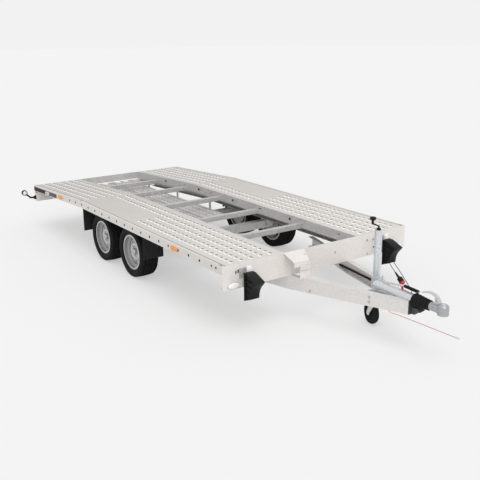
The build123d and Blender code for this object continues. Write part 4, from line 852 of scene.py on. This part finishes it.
@dataclass
class DeckGrip:
    """Punched collars of the decks and the ramps."""

    pitch: float = 0.0727
    row_pitch: float = 0.1
    first_row: float = 0.521
    rows: int = 5
    short_rows: int = 2
    collar: float = 0.0265
    hole: float = 0.0138
    rise: float = 0.0044
    phase: float = 0.828
    smooth_front: float = -0.225
    groove_y: tuple[float, float] = (1.0145, 1.0220)
    ramp_top: float = 0.431
    ramp_collars: int = 31
    hook_highlight_places: tuple[float, float] = (0.055, 0.175)
    hook_highlight_width: float = 0.07

    def build(self) -> None:
        """Punch both decks and both ramps, and lay a strip of painted shade along the groove beside each deck."""
        for side, name in ((-1, "right"), (1, "left")):
            fields = [self.field(self.smooth_front, FRONT_X - 0.03, side, self.rows),
                      self.field(KINK_X + 0.03, self.smooth_front, side, self.short_rows),
                      self.field(REAR_X + 0.04, KINK_X - 0.02, side, self.rows)]
            Bench.done(Bench.joined(fields), f"deck_grip_{name}", Shade.DECK, "chassis", "deck_aluminium")
            self.groove(side, name)
            self.ramp(side, name)

    def collar_at(self, x: float, y: float, z: float, size: float = 1.0,
                  shade: Shade = Shade.COLLAR) -> bpy.types.Object:
        """Turn one collar: its rim's near side in a lighter finish as a painted highlight, its far side in the deck's
        finish, its bottom painted dark as the shadow in its hole.

        Args:
            x: Place along the trailer.
            y: Place across it.
            z: Height of the surface.
            size: Share of the deck collar's size.
            shade: Finish of the rim's near side, lighter as a painted highlight.

        Returns:
            The collar.
        """
        outer, hole, rise = self.collar * size, self.hole * size, self.rise * size
        profile = [(0.0, outer), (rise * 0.6, outer - 0.0040), (rise * 0.95, outer - 0.0070), (rise, hole + 0.0012),
                   (rise * 0.85, hole), (0.0004, hole - 0.0004), (0.0003, 0.0)]
        piece = Bench.turned(profile, (x, y, z), (0, 0, 1), 16)
        for finish in (shade, Shade.SHADOW, Shade.DECK):
            piece.data.materials.append(finish.material())
        with Bench.editing(piece):
            Bench.pick(piece, lambda middle, normal: math.hypot(middle.x - x, middle.y - y) < hole)
            bpy.context.object.active_material_index = 1
            bpy.ops.object.material_slot_assign()
            # painted highlight: only the rim's near side keeps the light finish, the far side takes the deck's finish
            Bench.pick(piece, lambda middle, normal: middle.y > y - 0.006 and
                       math.hypot(middle.x - x, middle.y - y) > hole)
            bpy.context.object.active_material_index = 2
            bpy.ops.object.material_slot_assign()
        return piece

    def field(self, x0: float, x1: float, side: int, rows: int) -> bpy.types.Object:
        """Fill one stretch of a deck with collars.

        Args:
            x0: Rear end of the stretch.
            x1: Front end of the stretch.
            side: -1 for the right deck, 1 for the left.
            rows: Lengthwise rows from the deck's inner edge.

        Returns:
            All of its collars as one mesh.
        """
        first = self.phase + math.ceil((x0 - self.phase) / self.pitch) * self.pitch
        count = int((x1 - first) / self.pitch) + 1
        piece = self.collar_at(first, side * self.first_row, DECK_Z)
        Bench.row(piece, rows, (0, side * self.row_pitch, 0))
        Bench.row(piece, count, (self.pitch, 0, 0))
        if x0 < KINK_X:
            Bench.take(piece)
            bpy.ops.object.origin_set(type="ORIGIN_CURSOR")
            piece.matrix_world = (Matrix.Translation((KINK_X, 0, DECK_Z)) @ Matrix.Rotation(-math.atan(SLOPE), 4, "Y")
                                  @ Matrix.Translation((-KINK_X, 0, -DECK_Z)))
            Bench.settle(piece)
        return piece

    def groove(self, side: int, name: str) -> None:
        """Lay a thin dark strip on a deck's edge, painted shade for the groove between the deck and its rail.

        Args:
            side: -1 for the right, 1 for the left.
            name: The side's name.
        """
        y0, y1 = (side * y for y in self.groove_y)
        bottom, top = ([(x, y0, z + lift) for x, z in ((REAR_X + 0.004, deck_z(REAR_X)), (KINK_X, DECK_Z),
                                                       (FRONT_X - 0.005, DECK_Z))] for lift in (0.0002, 0.0008))
        outline = bottom + top[::-1]
        # painted shade: a flat dark strip where the groove lies in shade
        piece = Bench.prism(outline, (0, y1 - y0, 0))
        Bench.done(piece, f"painted_groove_shade_{name}", Shade.SEAM, "chassis", "deck_aluminium")

    def ramp(self, side: int, name: str) -> None:
        """Punch one ramp and lay thin near-white plates on its hooks as painted highlights.

        Args:
            side: -1 for the right, 1 for the left.
            name: The side's name.
        """
        piece = self.collar_at(REAR_X + 0.16, side * 0.06, self.ramp_top, 0.8, Shade.ZINC)
        Bench.row(piece, 3, (0, side * 0.09, 0))
        Bench.row(piece, self.ramp_collars, (self.pitch, 0, 0))
        Bench.done(piece, f"ramp_grip_{name}", Shade.ZINC_DARK, f"ramp_{name}_body", "galvanised")
        # painted highlights: thin near-white plates on the ramp hooks
        hook_highlights = []
        x = REAR_X + 0.020
        for near in self.hook_highlight_places:
            low, high = side_span(side, near, near + self.hook_highlight_width)
            outline = ((0.0, low), (0.020, low), (0.085, low + 0.016),
                       (0.085, high - 0.016), (0.020, high), (0.0, high))
            hook_highlights.append(Bench.prism([(x + ahead, y, self.ramp_top) for ahead, y in outline], (0, 0, 0.0036), 0.0010))
        Bench.done(Bench.joined(hook_highlights), f"ramp_hook_highlights_{name}", Shade.COLLAR, f"ramp_{name}_body", "galvanised")


@dataclass
class RoadWheels:
    """Four treaded tyres with their wheel bolts, caps and valves."""

    radius: float = 0.262
    rim: float = 0.179
    track: float = 0.8875
    bolt_circle: float = 0.056
    bolts: int = 5
    disc_face: float = 0.016
    sectors: int = 72
    places: tuple[tuple[str, float, int], ...] = (
        ("front_right", -0.325, -1), ("front_left", -0.325, 1), ("rear_right", -1.005, -1), ("rear_left", -1.005, 1))

    def build(self) -> None:
        """Fit every wheel."""
        _, first_x, first_side = self.places[0]
        first = self.tyre(first_x, first_side)
        for name, x, side in self.places:
            tyre = first if (x, side) == (first_x, first_side) else Bench.copy(first, (x - first_x, 0, 0))
            if side > 0:
                turned = Bench.mirrored(tyre)
                bpy.data.objects.remove(tyre)
                tyre = turned
            Bench.done(tyre, f"treaded_tyre_{name}", Shade.RUBBER, f"wheel_{name}_body", "tyre")
            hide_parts(f"tyre_{name}")
            fittings = self.fittings(x, side)
            Bench.done(fittings, f"wheel_fittings_{name}", Shade.BOLT, f"wheel_{name}_body", "wheel_steel")

    def profile(self) -> list[tuple[float, float]]:
        """Outline of the tyre from its outer bead over the tread to its inner bead.

        Returns:
            Places across the tyre and their radius.
        """
        top = self.radius
        half = [(0.0747, 0.1681), (0.0747, self.rim + 0.002), (0.083, self.rim + 0.006), (0.0915, self.rim + 0.018),
                (0.0962, self.rim + 0.030), (0.0975, self.rim + 0.042), (0.0962, self.rim + 0.054),
                (0.0928, top - 0.0185), (0.0905, top - 0.0165), (0.0905, top - 0.0105), (0.0845, top - 0.0058),
                (0.0700, top - 0.0036), (0.0640, top - 0.0032), (0.0628, top - 0.0100), (0.0548, top - 0.0100),
                (0.0536, top - 0.0024), (0.0230, top - 0.0008), (0.0218, top - 0.0085), (0.0138, top - 0.0085),
                (0.0126, top - 0.0002), (0.0, top)]
        return [*half, *[(-a, r) for a, r in half[-2::-1]]]

    def tyre(self, x: float, side: int) -> bpy.types.Object:
        """Model one sector of the tyre with its sipe, and repeat it around.

        Args:
            x: Place of the wheel.
            side: -1 on the right, 1 on the left.

        Returns:
            The whole tyre.
        """
        centre = Vector((x, side * self.track, self.radius))
        piece = Bench.line([centre + Vector((0, side * a, r)) for a, r in self.profile()])
        turn = 2 * math.pi / self.sectors
        narrow = turn * 0.14
        with Bench.editing(piece):
            bpy.ops.mesh.select_all(action="SELECT")
            bpy.ops.mesh.spin(steps=1, angle=narrow, center=centre, axis=(0, 1, 0))
            bpy.ops.mesh.spin(steps=3, angle=turn - narrow, center=centre, axis=(0, 1, 0))
            bpy.ops.mesh.select_all(action="SELECT")
            bpy.ops.mesh.remove_doubles(threshold=1e-6)
            bpy.ops.mesh.normals_make_consistent(inside=False)
            Bench.pick(piece, lambda middle, normal: self.in_sipe(middle - centre, narrow))
            bpy.ops.mesh.extrude_region_shrink_fatten(TRANSFORM_OT_shrink_fatten={"value": -0.0045})
        hub = bpy.data.objects.new("tyre_hub", None)
        bpy.context.scene.collection.objects.link(hub)
        Bench.take(piece)
        bpy.context.scene.cursor.location = centre
        bpy.ops.object.origin_set(type="ORIGIN_CURSOR")
        hub.matrix_world = Matrix.Translation(centre) @ Matrix.Rotation(turn, 4, "Y")
        bpy.context.view_layer.update()
        Bench.modify(piece, "ARRAY", count=self.sectors, use_relative_offset=False, use_object_offset=True,
                     offset_object=hub, use_merge_vertices=True, use_merge_vertices_cap=True, merge_threshold=2e-5)
        bpy.data.objects.remove(hub)
        bpy.context.scene.cursor.location = (0, 0, 0)
        Bench.settle(piece)
        with Bench.editing(piece):
            bpy.ops.mesh.remove_doubles(threshold=1e-5)
            bpy.ops.mesh.select_all(action="SELECT")
            bpy.ops.mesh.normals_make_consistent(inside=False)
        return piece

    def in_sipe(self, spot: Vector, narrow: float) -> bool:
        """Whether a face lies on a tread rib in the sector's narrow part.

        Args:
            spot: The face's middle, from the wheel's centre.
            narrow: Angle of the narrow part.

        Returns:
            True if the face is sunk.
        """
        angle = abs(math.atan2(spot.x, spot.z))
        distance = math.hypot(spot.x, spot.z)
        return angle < narrow and distance > self.radius - 0.0062 and abs(spot.y) < 0.082

    def fittings(self, x: float, side: int) -> bpy.types.Object:
        """Model the wheel bolts, the hub cap and the valve.

        Args:
            x: Place of the wheel.
            side: -1 on the right, 1 on the left.

        Returns:
            All of them as one mesh.
        """
        out = (0, side, 0)
        centre = Vector((x, side * self.track, self.radius))
        first = Bench.turned([(0.0, 0.0), (0.0, 0.0125), (0.006, 0.0125), (0.0068, 0.0108), (0.0068, 0.0092),
                              (0.021, 0.0092), (0.0228, 0.0066), (0.0228, 0.0)],
                             centre + Vector((0, side * self.disc_face, self.bolt_circle)), out, 6)
        pieces = [first]
        for index in range(1, self.bolts):
            angle = index * 2 * math.pi / self.bolts
            shift = Vector((math.sin(angle), 0, math.cos(angle) - 1)) * self.bolt_circle
            pieces.append(Bench.copy(first, shift))
        cap = Bench.turned([(0.026, 0.0), (0.026, 0.0338), (0.0300, 0.0345), (0.046, 0.0330), (0.0535, 0.0290),
                            (0.0570, 0.0200), (0.0585, 0.0)], centre, out, 40)
        valve = Bench.rod(tuple(centre + Vector((0.128, side * 0.012, 0.055))),
                          tuple(centre + Vector((0.126, side * 0.052, 0.054))), 0.0042, 10)
        return Bench.joined([cap, *pieces, valve])


@dataclass
class Lamps:
    """Lamps and markers of the front beam, the rails and the rear beam."""

    lamp_y: float = 0.943
    lamp_z: float = 0.427
    flatness: float = 0.45
    rear_top: float = 0.4337
    rear_height: float = 0.102
    rear_inner: float = 0.7
    rear_outer: float = 1.0

    def build(self) -> None:
        """Make every lamp."""
        for side, name in ((-1, "right"), (1, "left")):
            self.front(side, name)
            self.rear(side, name)
            self.outline(side, name)
            for place, x in (("rear", KINK_X - 0.598), ("front", KINK_X + 2.087)):
                self.marker(x, side, f"{place}_{name}")

    def front(self, side: int, name: str) -> None:
        """Oval lamp on the front beam: base, bezel and lens.

        Args:
            side: -1 for the right, 1 for the left.
            name: The side's name.
        """
        centre = (FRONT_X, side * self.lamp_y, self.lamp_z)
        base = Bench.turned([(0.0, 0.064), (0.004, 0.064), (0.0075, 0.0625), (0.009, 0.0592), (0.0078, 0.0575),
                             (0.0060, 0.0)], centre, (1, 0, 0), 48)
        lens = Bench.turned([(0.006, 0.0575), (0.011, 0.0555), (0.0138, 0.047), (0.0148, 0.030), (0.0150, 0.0)],
                            centre, (1, 0, 0), 48)
        for piece in (base, lens):
            Bench.squashed(piece, centre, (1, 1, self.flatness))
        Bench.done(base, f"front_lamp_base_{name}", Shade.BEZEL, "chassis", "black_plastic")
        Bench.done(lens, f"front_lamp_lens_{name}", Shade.WHITE, "chassis", "clear_lens")
        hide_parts("front_lamps")

    def marker(self, x: float, side: int, name: str) -> None:
        """Amber side marker with a ribbed lens.

        Args:
            x: Place along the trailer.
            side: -1 for the right, 1 for the left.
            name: The marker's place and side.
        """
        z = deck_z(x) - 0.036
        y = side * HALF_WIDTH
        corners = ((-1, -1), (1, -1), (1, 1), (-1, 1))
        outline = [(x + ahead * 0.058, y, z + up * 0.016) for ahead, up in corners]
        piece = Bench.prism(outline, (0, side * 0.0115, 0), 0.004, 3)
        low, high = side_span(side, HALF_WIDTH, HALF_WIDTH + 0.0122)
        ribs = Bench.block((x - 0.040, low, z - 0.010), (x - 0.037, high, z + 0.010), 0.0004)
        Bench.row(ribs, 12, (0.0067, 0, 0))
        Bench.done(Bench.joined([piece, ribs]), f"side_marker_{name}", Shade.AMBER, "chassis", "amber_lens")
        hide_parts("side_markers")

    def rear(self, side: int, name: str) -> None:
        """Rear lamp: two red fields and an amber one in a dark frame.

        Args:
            side: -1 for the right, 1 for the left.
            name: The side's name.
        """
        z0, z1 = self.rear_top - self.rear_height + 0.014, self.rear_top - 0.014
        low, high = side_span(side, self.rear_inner, self.rear_outer)
        frame = Bench.block((REAR_X + 0.002, low, z0), (REAR_X + 0.030, high, z1), 0.003)
        Bench.done(frame, f"rear_lamp_frame_{name}", Shade.PLASTIC, "chassis", "black_plastic")
        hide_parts("rear_lamps")
        fields = ((0.706, 0.800, Shade.RED, "red_lens"), (0.804, 0.896, Shade.AMBER, "amber_lens"),
                  (0.900, 0.994, Shade.RED, "red_lens"))
        for index, (near, far, shade, slot) in enumerate(fields):
            low, high = side_span(side, near, far)
            lens = Bench.block((REAR_X, low, z0 + 0.006), (REAR_X + 0.006, high, z1 - 0.006), 0.002)
            Bench.done(lens, f"rear_lamp_lens_{name}_{index}", shade, "chassis", slot)

    def outline(self, side: int, name: str) -> None:
        """Outline lamp: flexible rubber arm with a ring shaped head and its two lenses.

        Args:
            side: -1 for the right, 1 for the left.
            name: The side's name.
        """
        x, z = REAR_X + 0.03, self.rear_top - 0.055
        y = side * HALF_WIDTH
        cone = Bench.turned([(0.0, 0.028), (0.004, 0.028), (0.012, 0.022), (0.016, 0.0225), (0.024, 0.0165),
                             (0.028, 0.017), (0.034, 0.0115), (0.040, 0.0)], (x, y, z), (0, side, 0), 28)
        elbow = (x, side * (HALF_WIDTH + 0.070), z + 0.006)
        head = (x, side * (HALF_WIDTH + 0.140), z + 0.075)
        lower = Bench.rod((x, y + side * 0.02, z), elbow, 0.011, 20)
        upper = Bench.rod(elbow, head, 0.011, 20)
        knee = Bench.turned([(-0.0118, 0.0), (-0.0104, 0.0058), (-0.0060, 0.0104), (0.0, 0.0119), (0.0060, 0.0104),
                             (0.0104, 0.0058), (0.0118, 0.0)], elbow, (1, 0, 0), 20)
        ring = Bench.turned([(-0.016, 0.027), (-0.0195, 0.0300), (-0.0165, 0.0335), (-0.004, 0.0340), (0.004, 0.0340),
                             (0.0165, 0.0335), (0.0195, 0.0300), (0.016, 0.027), (0.010, 0.0262), (0.010, 0.0),
                             (-0.010, 0.0), (-0.010, 0.0262), (-0.016, 0.027)], head, (1, 0, 0), 36)
        arm = Bench.joined([cone, lower, upper, knee, ring])
        Bench.done(arm, f"outline_lamp_arm_{name}", Shade.SOFT, "chassis", "black_rubber")
        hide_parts("outline_lamps")
        for facing, shade, slot in ((1, Shade.WHITE, "clear_lens"), (-1, Shade.RED, "red_lens")):
            lens = Bench.turned([(0.010, 0.0258), (0.0150, 0.0245), (0.0185, 0.017), (0.0200, 0.0)], head,
                                (facing, 0, 0), 28)
            Bench.done(lens, f"outline_lamp_lens_{name}_{'front' if facing > 0 else 'rear'}", shade, "chassis", slot)


@dataclass
class BeamFittings:
    """Screws, plugs and small fittings of the beams, legs and mudflaps."""

    screws: tuple[Place, ...] = ((0.55, 0.547), (0.63, 0.542), (0.16, 0.507), (0.56, 0.417))
    slots: tuple[Place, ...] = ((-0.918, 0.536), (-0.897, 0.541))
    holes: tuple[Place, ...] = ((-0.829, 0.539), (0.640, 0.467))
    keepers: tuple[float, float] = (-0.813, 0.772)
    keeper_size: float = 0.048
    plugs: tuple[float, ...] = (-2.065, -1.25, -0.522, 0.505)
    plug_y: float = 0.4165
    flaps: tuple[tuple[float, float, int], ...] = ((0.079, 0.295, 1), (-1.347, 0.270, -1))
    flap_ribs: tuple[float, ...] = (0.86, 0.93, 1.0)
    leg_bolts: tuple[Place, ...] = ((0.338, 0.376), (0.338, 0.336), (0.900, 0.300))
    leg_spread: float = 0.286
    leg_front_y: float = 0.055

    def build(self) -> None:
        """Fit all of them."""
        self.front_screws()
        self.inner_plugs()
        self.stiffen_flaps()
        self.bolt_legs()

    def screw(self, spot: Point, axis: Point, size: float = 0.009) -> bpy.types.Object:
        """Hexagon head on its washer.

        Args:
            spot: Place on the surface.
            axis: Way that the head faces.
            size: Radius of the head.

        Returns:
            The screw.
        """
        washer = Bench.turned([(0.0, size * 1.25), (0.0014, size * 1.25), (0.0016, 0.0)], spot, axis, 20)
        head = Bench.turned([(0.0014, size), (0.0052, size), (0.0062, size * 0.86), (0.0062, 0.0)], spot, axis, 6)
        return Bench.joined([washer, head])

    def front_screws(self) -> None:
        """Screws, dark holes and the chocks' keeper plates on the front beam."""
        pieces = [self.screw((FRONT_X, y, z), (1, 0, 0)) for y, z in self.screws]
        Bench.done(Bench.joined(pieces), "front_beam_screws", Shade.BOLT, "chassis", "zinc_steel")
        dark = [Bench.block((FRONT_X - 0.001, y - 0.006, z - 0.014), (FRONT_X + 0.0012, y + 0.006, z + 0.014), 0.0005)
                for y, z in self.slots]
        dark += [Bench.turned([(0.0, 0.0), (0.0004, 0.0), (0.0012, 0.0078), (0.0, 0.0090)], (FRONT_X, y, z),
                              (1, 0, 0), 18) for y, z in self.holes]
        Bench.done(Bench.joined(dark), "front_beam_holes", Shade.HOLE, "chassis", "galvanised")
        # the keeper plates take the near-white that paints highlights elsewhere
        plates = [Bench.block((FRONT_X, y, 0.518), (FRONT_X + 0.007, y + self.keeper_size, 0.566), 0.002)
                  for y in self.keepers]
        Bench.done(Bench.joined(plates), "chock_keeper_plates", Shade.COLLAR, "chassis", "zinc_steel")

    def inner_plugs(self) -> None:
        """Round plugs along the inner beams."""
        pieces = []
        for side in (-1, 1):
            for x in self.plugs:
                spot = (x, side * self.plug_y, deck_z(x) - 0.040)
                pieces.append(Bench.turned([(0.0, 0.013), (0.002, 0.013), (0.004, 0.010), (0.0042, 0.0)], spot,
                                           (0, -side, 0), 20))
        Bench.done(Bench.joined(pieces), "inner_beam_plugs", Shade.PLASTIC, "chassis", "black_plastic")

    def stiffen_flaps(self) -> None:
        """Upright ribs on the mudflaps' outward faces."""
        pieces = []
        for face, bottom, facing in self.flaps:
            x0, x1 = sorted((face, face + facing * 0.003))
            for side in (-1, 1):
                for y in self.flap_ribs:
                    low, high = side_span(side, y - 0.006, y + 0.006)
                    pieces.append(Bench.block((x0, low, bottom + 0.02), (x1, high, 0.50), 0.0012))
        Bench.done(Bench.joined(pieces), "mudflap_ribs", Shade.FLAP, "chassis", "black_plastic")

    def bolt_legs(self) -> None:
        """Bolts through the drawbar legs."""
        pieces = []
        angle = math.atan(self.leg_spread)
        for side in (-1, 1):
            out = (math.sin(angle), side * math.cos(angle), 0)
            for back, z in self.leg_bolts:
                x = LEG_FRONT_X - math.cos(angle) * back
                y = side * (self.leg_front_y + math.sin(angle) * back)
                pieces.append(self.screw((x, y, z), out, 0.010))
        Bench.done(Bench.joined(pieces), "drawbar_bolts", Shade.BOLT, "chassis", "zinc_steel")


@dataclass
class RailFittings:
    """Dark turned cups and plates of painted shadow in the rails' holes and slots, and the rails' open rear ends."""

    first: float = -1.695
    pitch: float = 0.1765
    count: int = 17
    end_holes: tuple[float, ...] = (1.315, 1.381)
    stake_slots: tuple[float, ...] = (-2.815, -1.385, 1.430)
    slot_y: tuple[float, float] = (1.0288, 1.0412)
    half_slot: float = 0.0226
    drop: float = 0.036
    radius: float = 0.009
    open_hole: int = 8

    def build(self) -> None:
        """Line every hole and slot with painted shadow and dress both rail ends."""
        for side, name in ((-1, "right"), (1, "left")):
            # painted shadow: dark cups in the holes and dark plates in the stake slots
            hole_shadows = []
            for index in range(self.count):
                x = self.first + index * self.pitch
                spot = (x, side * (HALF_WIDTH - 0.001), deck_z(x) - self.drop)
                outer, middle, inner = self.radius + 0.0030, self.radius - 0.0002, self.radius - 0.0012
                rim = [(0.0014, outer), (0.0014, inner), (-0.0128, inner)]
                back = [(-0.014, middle), (0.0010, middle), (0.0010, outer), (0.0014, outer)]
                if index != self.open_hole:
                    rim += [(-0.0128, 0.0), (-0.014, 0.0)]
                hole_shadows.append(Bench.turned([*rim, *back], spot, (0, side, 0), 20))
            for x in self.end_holes:
                spot = (x, side * (HALF_WIDTH + 0.0002), DECK_Z - 0.033)
                hole_shadows.append(Bench.turned([(0.0, 0.0), (0.0, 0.0105), (0.0008, 0.0098), (0.0004, 0.0)], spot,
                                            (0, side, 0), 20))
            low, high = side_span(side, *self.slot_y)
            for x in self.stake_slots:
                slope = SLOPE if x < KINK_X else 0.0
                half = self.half_slot
                corners = ((-half, low), (half, low), (half, high), (-half, high))
                hole_shadows.append(Bench.prism([(x + ahead, y, deck_z(x) - 0.0045 + ahead * slope) for ahead, y in corners],
                                           (0, 0, -0.002)))
            Bench.done(Bench.joined(hole_shadows), f"lashing_hole_shadows_{name}", Shade.HOLE, "chassis", "deck_aluminium")
            self.open_end(side, name)

    def open_end(self, side: int, name: str) -> None:
        """Dark pocket at a rail's rear end, with its latch and its cover.

        Args:
            side: -1 for the right, 1 for the left.
            name: The side's name.
        """
        y = side * (HALF_WIDTH + 0.0002)
        out = (0, side * 0.0012, 0)
        x0, x1 = REAR_X + 0.006, REAR_X + 0.775
        pocket = Bench.prism([(x0, y, deck_z(x0) - 0.068), (x1, y, deck_z(x1) - 0.066), (x1, y, deck_z(x1) - 0.020),
                              (x0, y, deck_z(x0) - 0.014)], out, 0.0005)
        Bench.done(pocket, f"rail_pocket_{name}", Shade.HOLE, "chassis", "black_plastic")
        x0, x1 = REAR_X + 0.40, REAR_X + 0.54
        z = deck_z(x0) - 0.062
        latch = Bench.joined([
            Bench.prism([(x0, y, z), (x1 - 0.04, y, z), (x1, y, z + 0.016), (x1, y, z + 0.044),
                         (x0 + 0.05, y, z + 0.044), (x0, y, z + 0.028)], (0, side * 0.004, 0), 0.0012),
            Bench.turned([(0.0, 0.009), (0.0055, 0.009), (0.007, 0.007), (0.007, 0.0)],
                         (x0 + 0.03, y, z + 0.022), (0, side, 0), 18)])
        Bench.done(latch, f"rail_latch_{name}", Shade.LEVER, "chassis", "zinc_steel")
        x0, x1 = REAR_X + 0.565, REAR_X + 0.770
        cover = Bench.prism([(x0, y, deck_z(x0) - 0.064), (x1, y, deck_z(x1) - 0.062), (x1, y, deck_z(x1) - 0.020),
                             (x0, y, deck_z(x0) - 0.022)], (0, side * 0.003, 0), 0.001)
        Bench.done(cover, f"rail_cover_{name}", Shade.COVER, "chassis", "black_plastic")


@dataclass
class Chocks:
    """Moulded wheel chocks with recessed sides and a ribbed tread."""

    places: tuple[float, ...] = (-0.815, 0.770)
    width: float = 0.092
    rim: float = 0.010
    recess: float = 0.016

    def build(self) -> None:
        """Model one chock and copy it to its other place."""
        first = self.chock(self.places[0])
        second = Bench.copy(first, (0, self.places[1] - self.places[0], 0))
        for piece, name in ((first, "right"), (second, "left")):
            Bench.done(piece, f"chock_{name}", Shade.PLASTIC, "chassis", "black_plastic")
            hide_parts("wheel_chocks")

    def chock(self, y: float) -> bpy.types.Object:
        """Wedge with hollow sides.

        Args:
            y: Middle of the chock across the trailer.

        Returns:
            The chock.
        """
        arc = self.curve((0.172, -0.163), (0.133, -0.218), (0.120, -0.288))
        outline = [(0.028, -0.080), (0.072, -0.080), (0.200, -0.130), *arc, (0.028, -0.325)]
        near = y - self.width / 2
        piece = Bench.prism([(FRONT_X + a, near, DECK_Z + b) for a, b in outline], (0, self.width, 0))
        with Bench.editing(piece):
            Bench.pick(piece, lambda middle, normal: abs(normal.y) > 0.9)
            bpy.ops.mesh.inset(thickness=self.rim, use_even_offset=True, use_individual=True)
            bpy.ops.mesh.extrude_region_shrink_fatten(TRANSFORM_OT_shrink_fatten={"value": -self.recess})
        Bench.modify(piece, "BEVEL", width=0.0018, segments=2, limit_method="ANGLE")
        ribs = [Bench.block((FRONT_X + 0.034, y - 0.040, DECK_Z + z), (FRONT_X + 0.110, y + 0.040, DECK_Z + z + 0.006),
                            0.001) for z in (-0.150, -0.200, -0.250)]
        return Bench.joined([piece, *ribs])

    def curve(self, start: tuple[float, float], middle: tuple[float, float],
              end: tuple[float, float]) -> list[tuple[float, float]]:
        """Corners along the hollow tread face, through three places.

        Args:
            start: Upper end.
            middle: Place that the curve passes.
            end: Lower end.

        Returns:
            Seven places in order.
        """
        steps = [index / 6 for index in range(7)]
        pull = [2 * m - (s + e) / 2 for s, m, e in zip(start, middle, end)]
        return [tuple((1 - t) ** 2 * s + 2 * t * (1 - t) * p + t * t * e for s, p, e in zip(start, pull, end))
                for t in steps]


@dataclass
class Towing:
    """Details of the coupling, the brake lever, the plug and the jockey wheel."""

    ball_x: float = 2.832
    pins: tuple[tuple[float, float, float, float], ...] = ((0.085, 0.041, 0.012, 0.007), (0.062, 0.013, 0.060, 0.006))
    grip: tuple[Point, Point] = ((2.452, 0, 0.5055), (2.589, 0, 0.4991))
    jockey_x: float = 2.033
    jockey_y: float = 0.118
    ring_heights: tuple[float, float] = (0.8365, 0.340)

    def build(self) -> None:
        """Make the details."""
        self.coupling()
        self.rib_grip()
        self.ring_jockey_tube()

    def coupling(self) -> None:
        """White oval on the crown as a painted highlight, and the lever's two pins."""
        # painted highlight: a flat white oval on the coupling's crown
        crown_highlight = Bench.turned([(0.0, 0.0165), (0.0018, 0.0165), (0.0024, 0.0150), (0.0026, 0.0)],
                             (self.ball_x + 0.004, 0, SHAFT_Z + 0.0442), (0, 0, 1), 32)
        Bench.squashed(crown_highlight, (self.ball_x + 0.004, 0, SHAFT_Z), (1, 0.63, 1))
        Bench.done(crown_highlight, "coupling_crown_highlight", Shade.WHITE_INLAY, "chassis", "clear_lens")
        pins = [Bench.rod((self.ball_x - back, -reach, SHAFT_Z + up), (self.ball_x - back, reach, SHAFT_Z + up),
                          radius, 18) for back, reach, up, radius in self.pins]
        Bench.done(Bench.joined(pins), "coupling_pins", Shade.BOLT, "chassis", "zinc_steel")

    def rib_grip(self) -> None:
        """Ribs around the brake lever's grip."""
        start, end = (Vector(point) for point in self.grip)
        along = (end - start).normalized()
        rib = Bench.turned([(-0.003, 0.0118), (-0.0015, 0.0132), (0.0015, 0.0132), (0.003, 0.0118)],
                           tuple(start + along * 0.008), tuple(along), 24)
        Bench.row(rib, 15, tuple(along * 0.0088))
        Bench.done(rib, "brake_grip_ribs", Shade.SOFT, "chassis", "black_rubber")

    def ring_jockey_tube(self) -> None:
        """Rings around both ends of the jockey tube."""
        rings = [Bench.turned([(-0.006, 0.0299), (-0.005, 0.0318), (0.005, 0.0318), (0.006, 0.0299)],
                              (self.jockey_x, self.jockey_y, z), (0, 0, 1), 36) for z in self.ring_heights]
        Bench.done(Bench.joined(rings), "jockey_tube_rings", Shade.PLATED, "chassis", "zinc_steel")


@dataclass
class Skins:
    """Finish of every solid that shows."""

    by_shade: tuple[tuple[Shade, tuple[str, ...]], ...] = (
        (Shade.DECK, ("deck_right", "deck_left")),
        (Shade.RAIL, ("side_rail_right", "side_rail_left")),
        (Shade.BEAM, ("inner_beams", "deck_end")),
        (Shade.ZINC, ("front_beam", "rear_beam", "front_bracket")),
        (Shade.LEG, ("drawbar_legs",)),
        (Shade.CASTING, ("coupling_head",)),
        (Shade.ZINC_DARK, ("crossmembers", "main_beams", "ramp_right", "ramp_left", "ramp_hangers", "axle_front",
                           "axle_rear", "chock_brackets")),
        (Shade.PLATED, ("overrun_housing", "jockey_tube", "jockey_stem", "handbrake_lever",
                        "breakaway_hook", "jockey_clamp", "jockey_fork")),
        (Shade.CAST, ("drum_front_right", "drum_front_left", "drum_rear_right", "drum_rear_left")),
        (Shade.SOFT, ("bellows", "handbrake_grip", "brake_conduit", "outline_lamps")),
        (Shade.PLASTIC, ("plug", "wheel_chocks", "jockey_crank")),
        (Shade.LEVER, ("coupling_lever",)),
        (Shade.FLAP, ("mudflaps",)),
        (Shade.RUBBER, ("jockey_wheel", "tyre_front_right", "tyre_front_left", "tyre_rear_right", "tyre_rear_left")),
        (Shade.PAINT, ("end_plate",)),
        (Shade.RED_PLASTIC, ("plug_holder",)),
        (Shade.AMBER, ("side_markers",)),
        (Shade.RED, ("rear_lamps",)),
        (Shade.WHITE, ("front_lamps",)),
        (Shade.GREY_SHEATH, ("plug_cable",)),
        (Shade.SHEATH, ("breakaway_cable",)),
        (Shade.WHEEL_FRONT, ("wheel_front_right", "wheel_front_left")),
        (Shade.WHEEL_REAR, ("wheel_rear_right", "wheel_rear_left")),
    )

    def build(self, nodes: dict[str, bpy.types.Object]) -> None:
        """Give each solid its finish.

        Args:
            nodes: The trailer's solids by name.
        """
        for shade, names in self.by_shade:
            for name in names:
                node = nodes[name]
                if not node.material_slots:
                    node.data.materials.append(shade.material())
                for slot in node.material_slots:
                    slot.material = shade.material()
        log.info("finished %d solids", sum(len(names) for _, names in self.by_shade))


def main() -> None:
    """Dress the trailer, sub-assembly by sub-assembly."""
    logging.basicConfig(level=logging.INFO, format="%(name)s %(message)s")
    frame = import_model()
    nodes = frame["nodes"]
    Studio().build()
    Cables().build(nodes)
    Skins().build(nodes)
    RoadWheels().build()
    DeckGrip().build()
    Lamps().build()
    BeamFittings().build()
    RailFittings().build()
    Chocks().build()
    Towing().build()


if __name__ == "__main__":
    main()
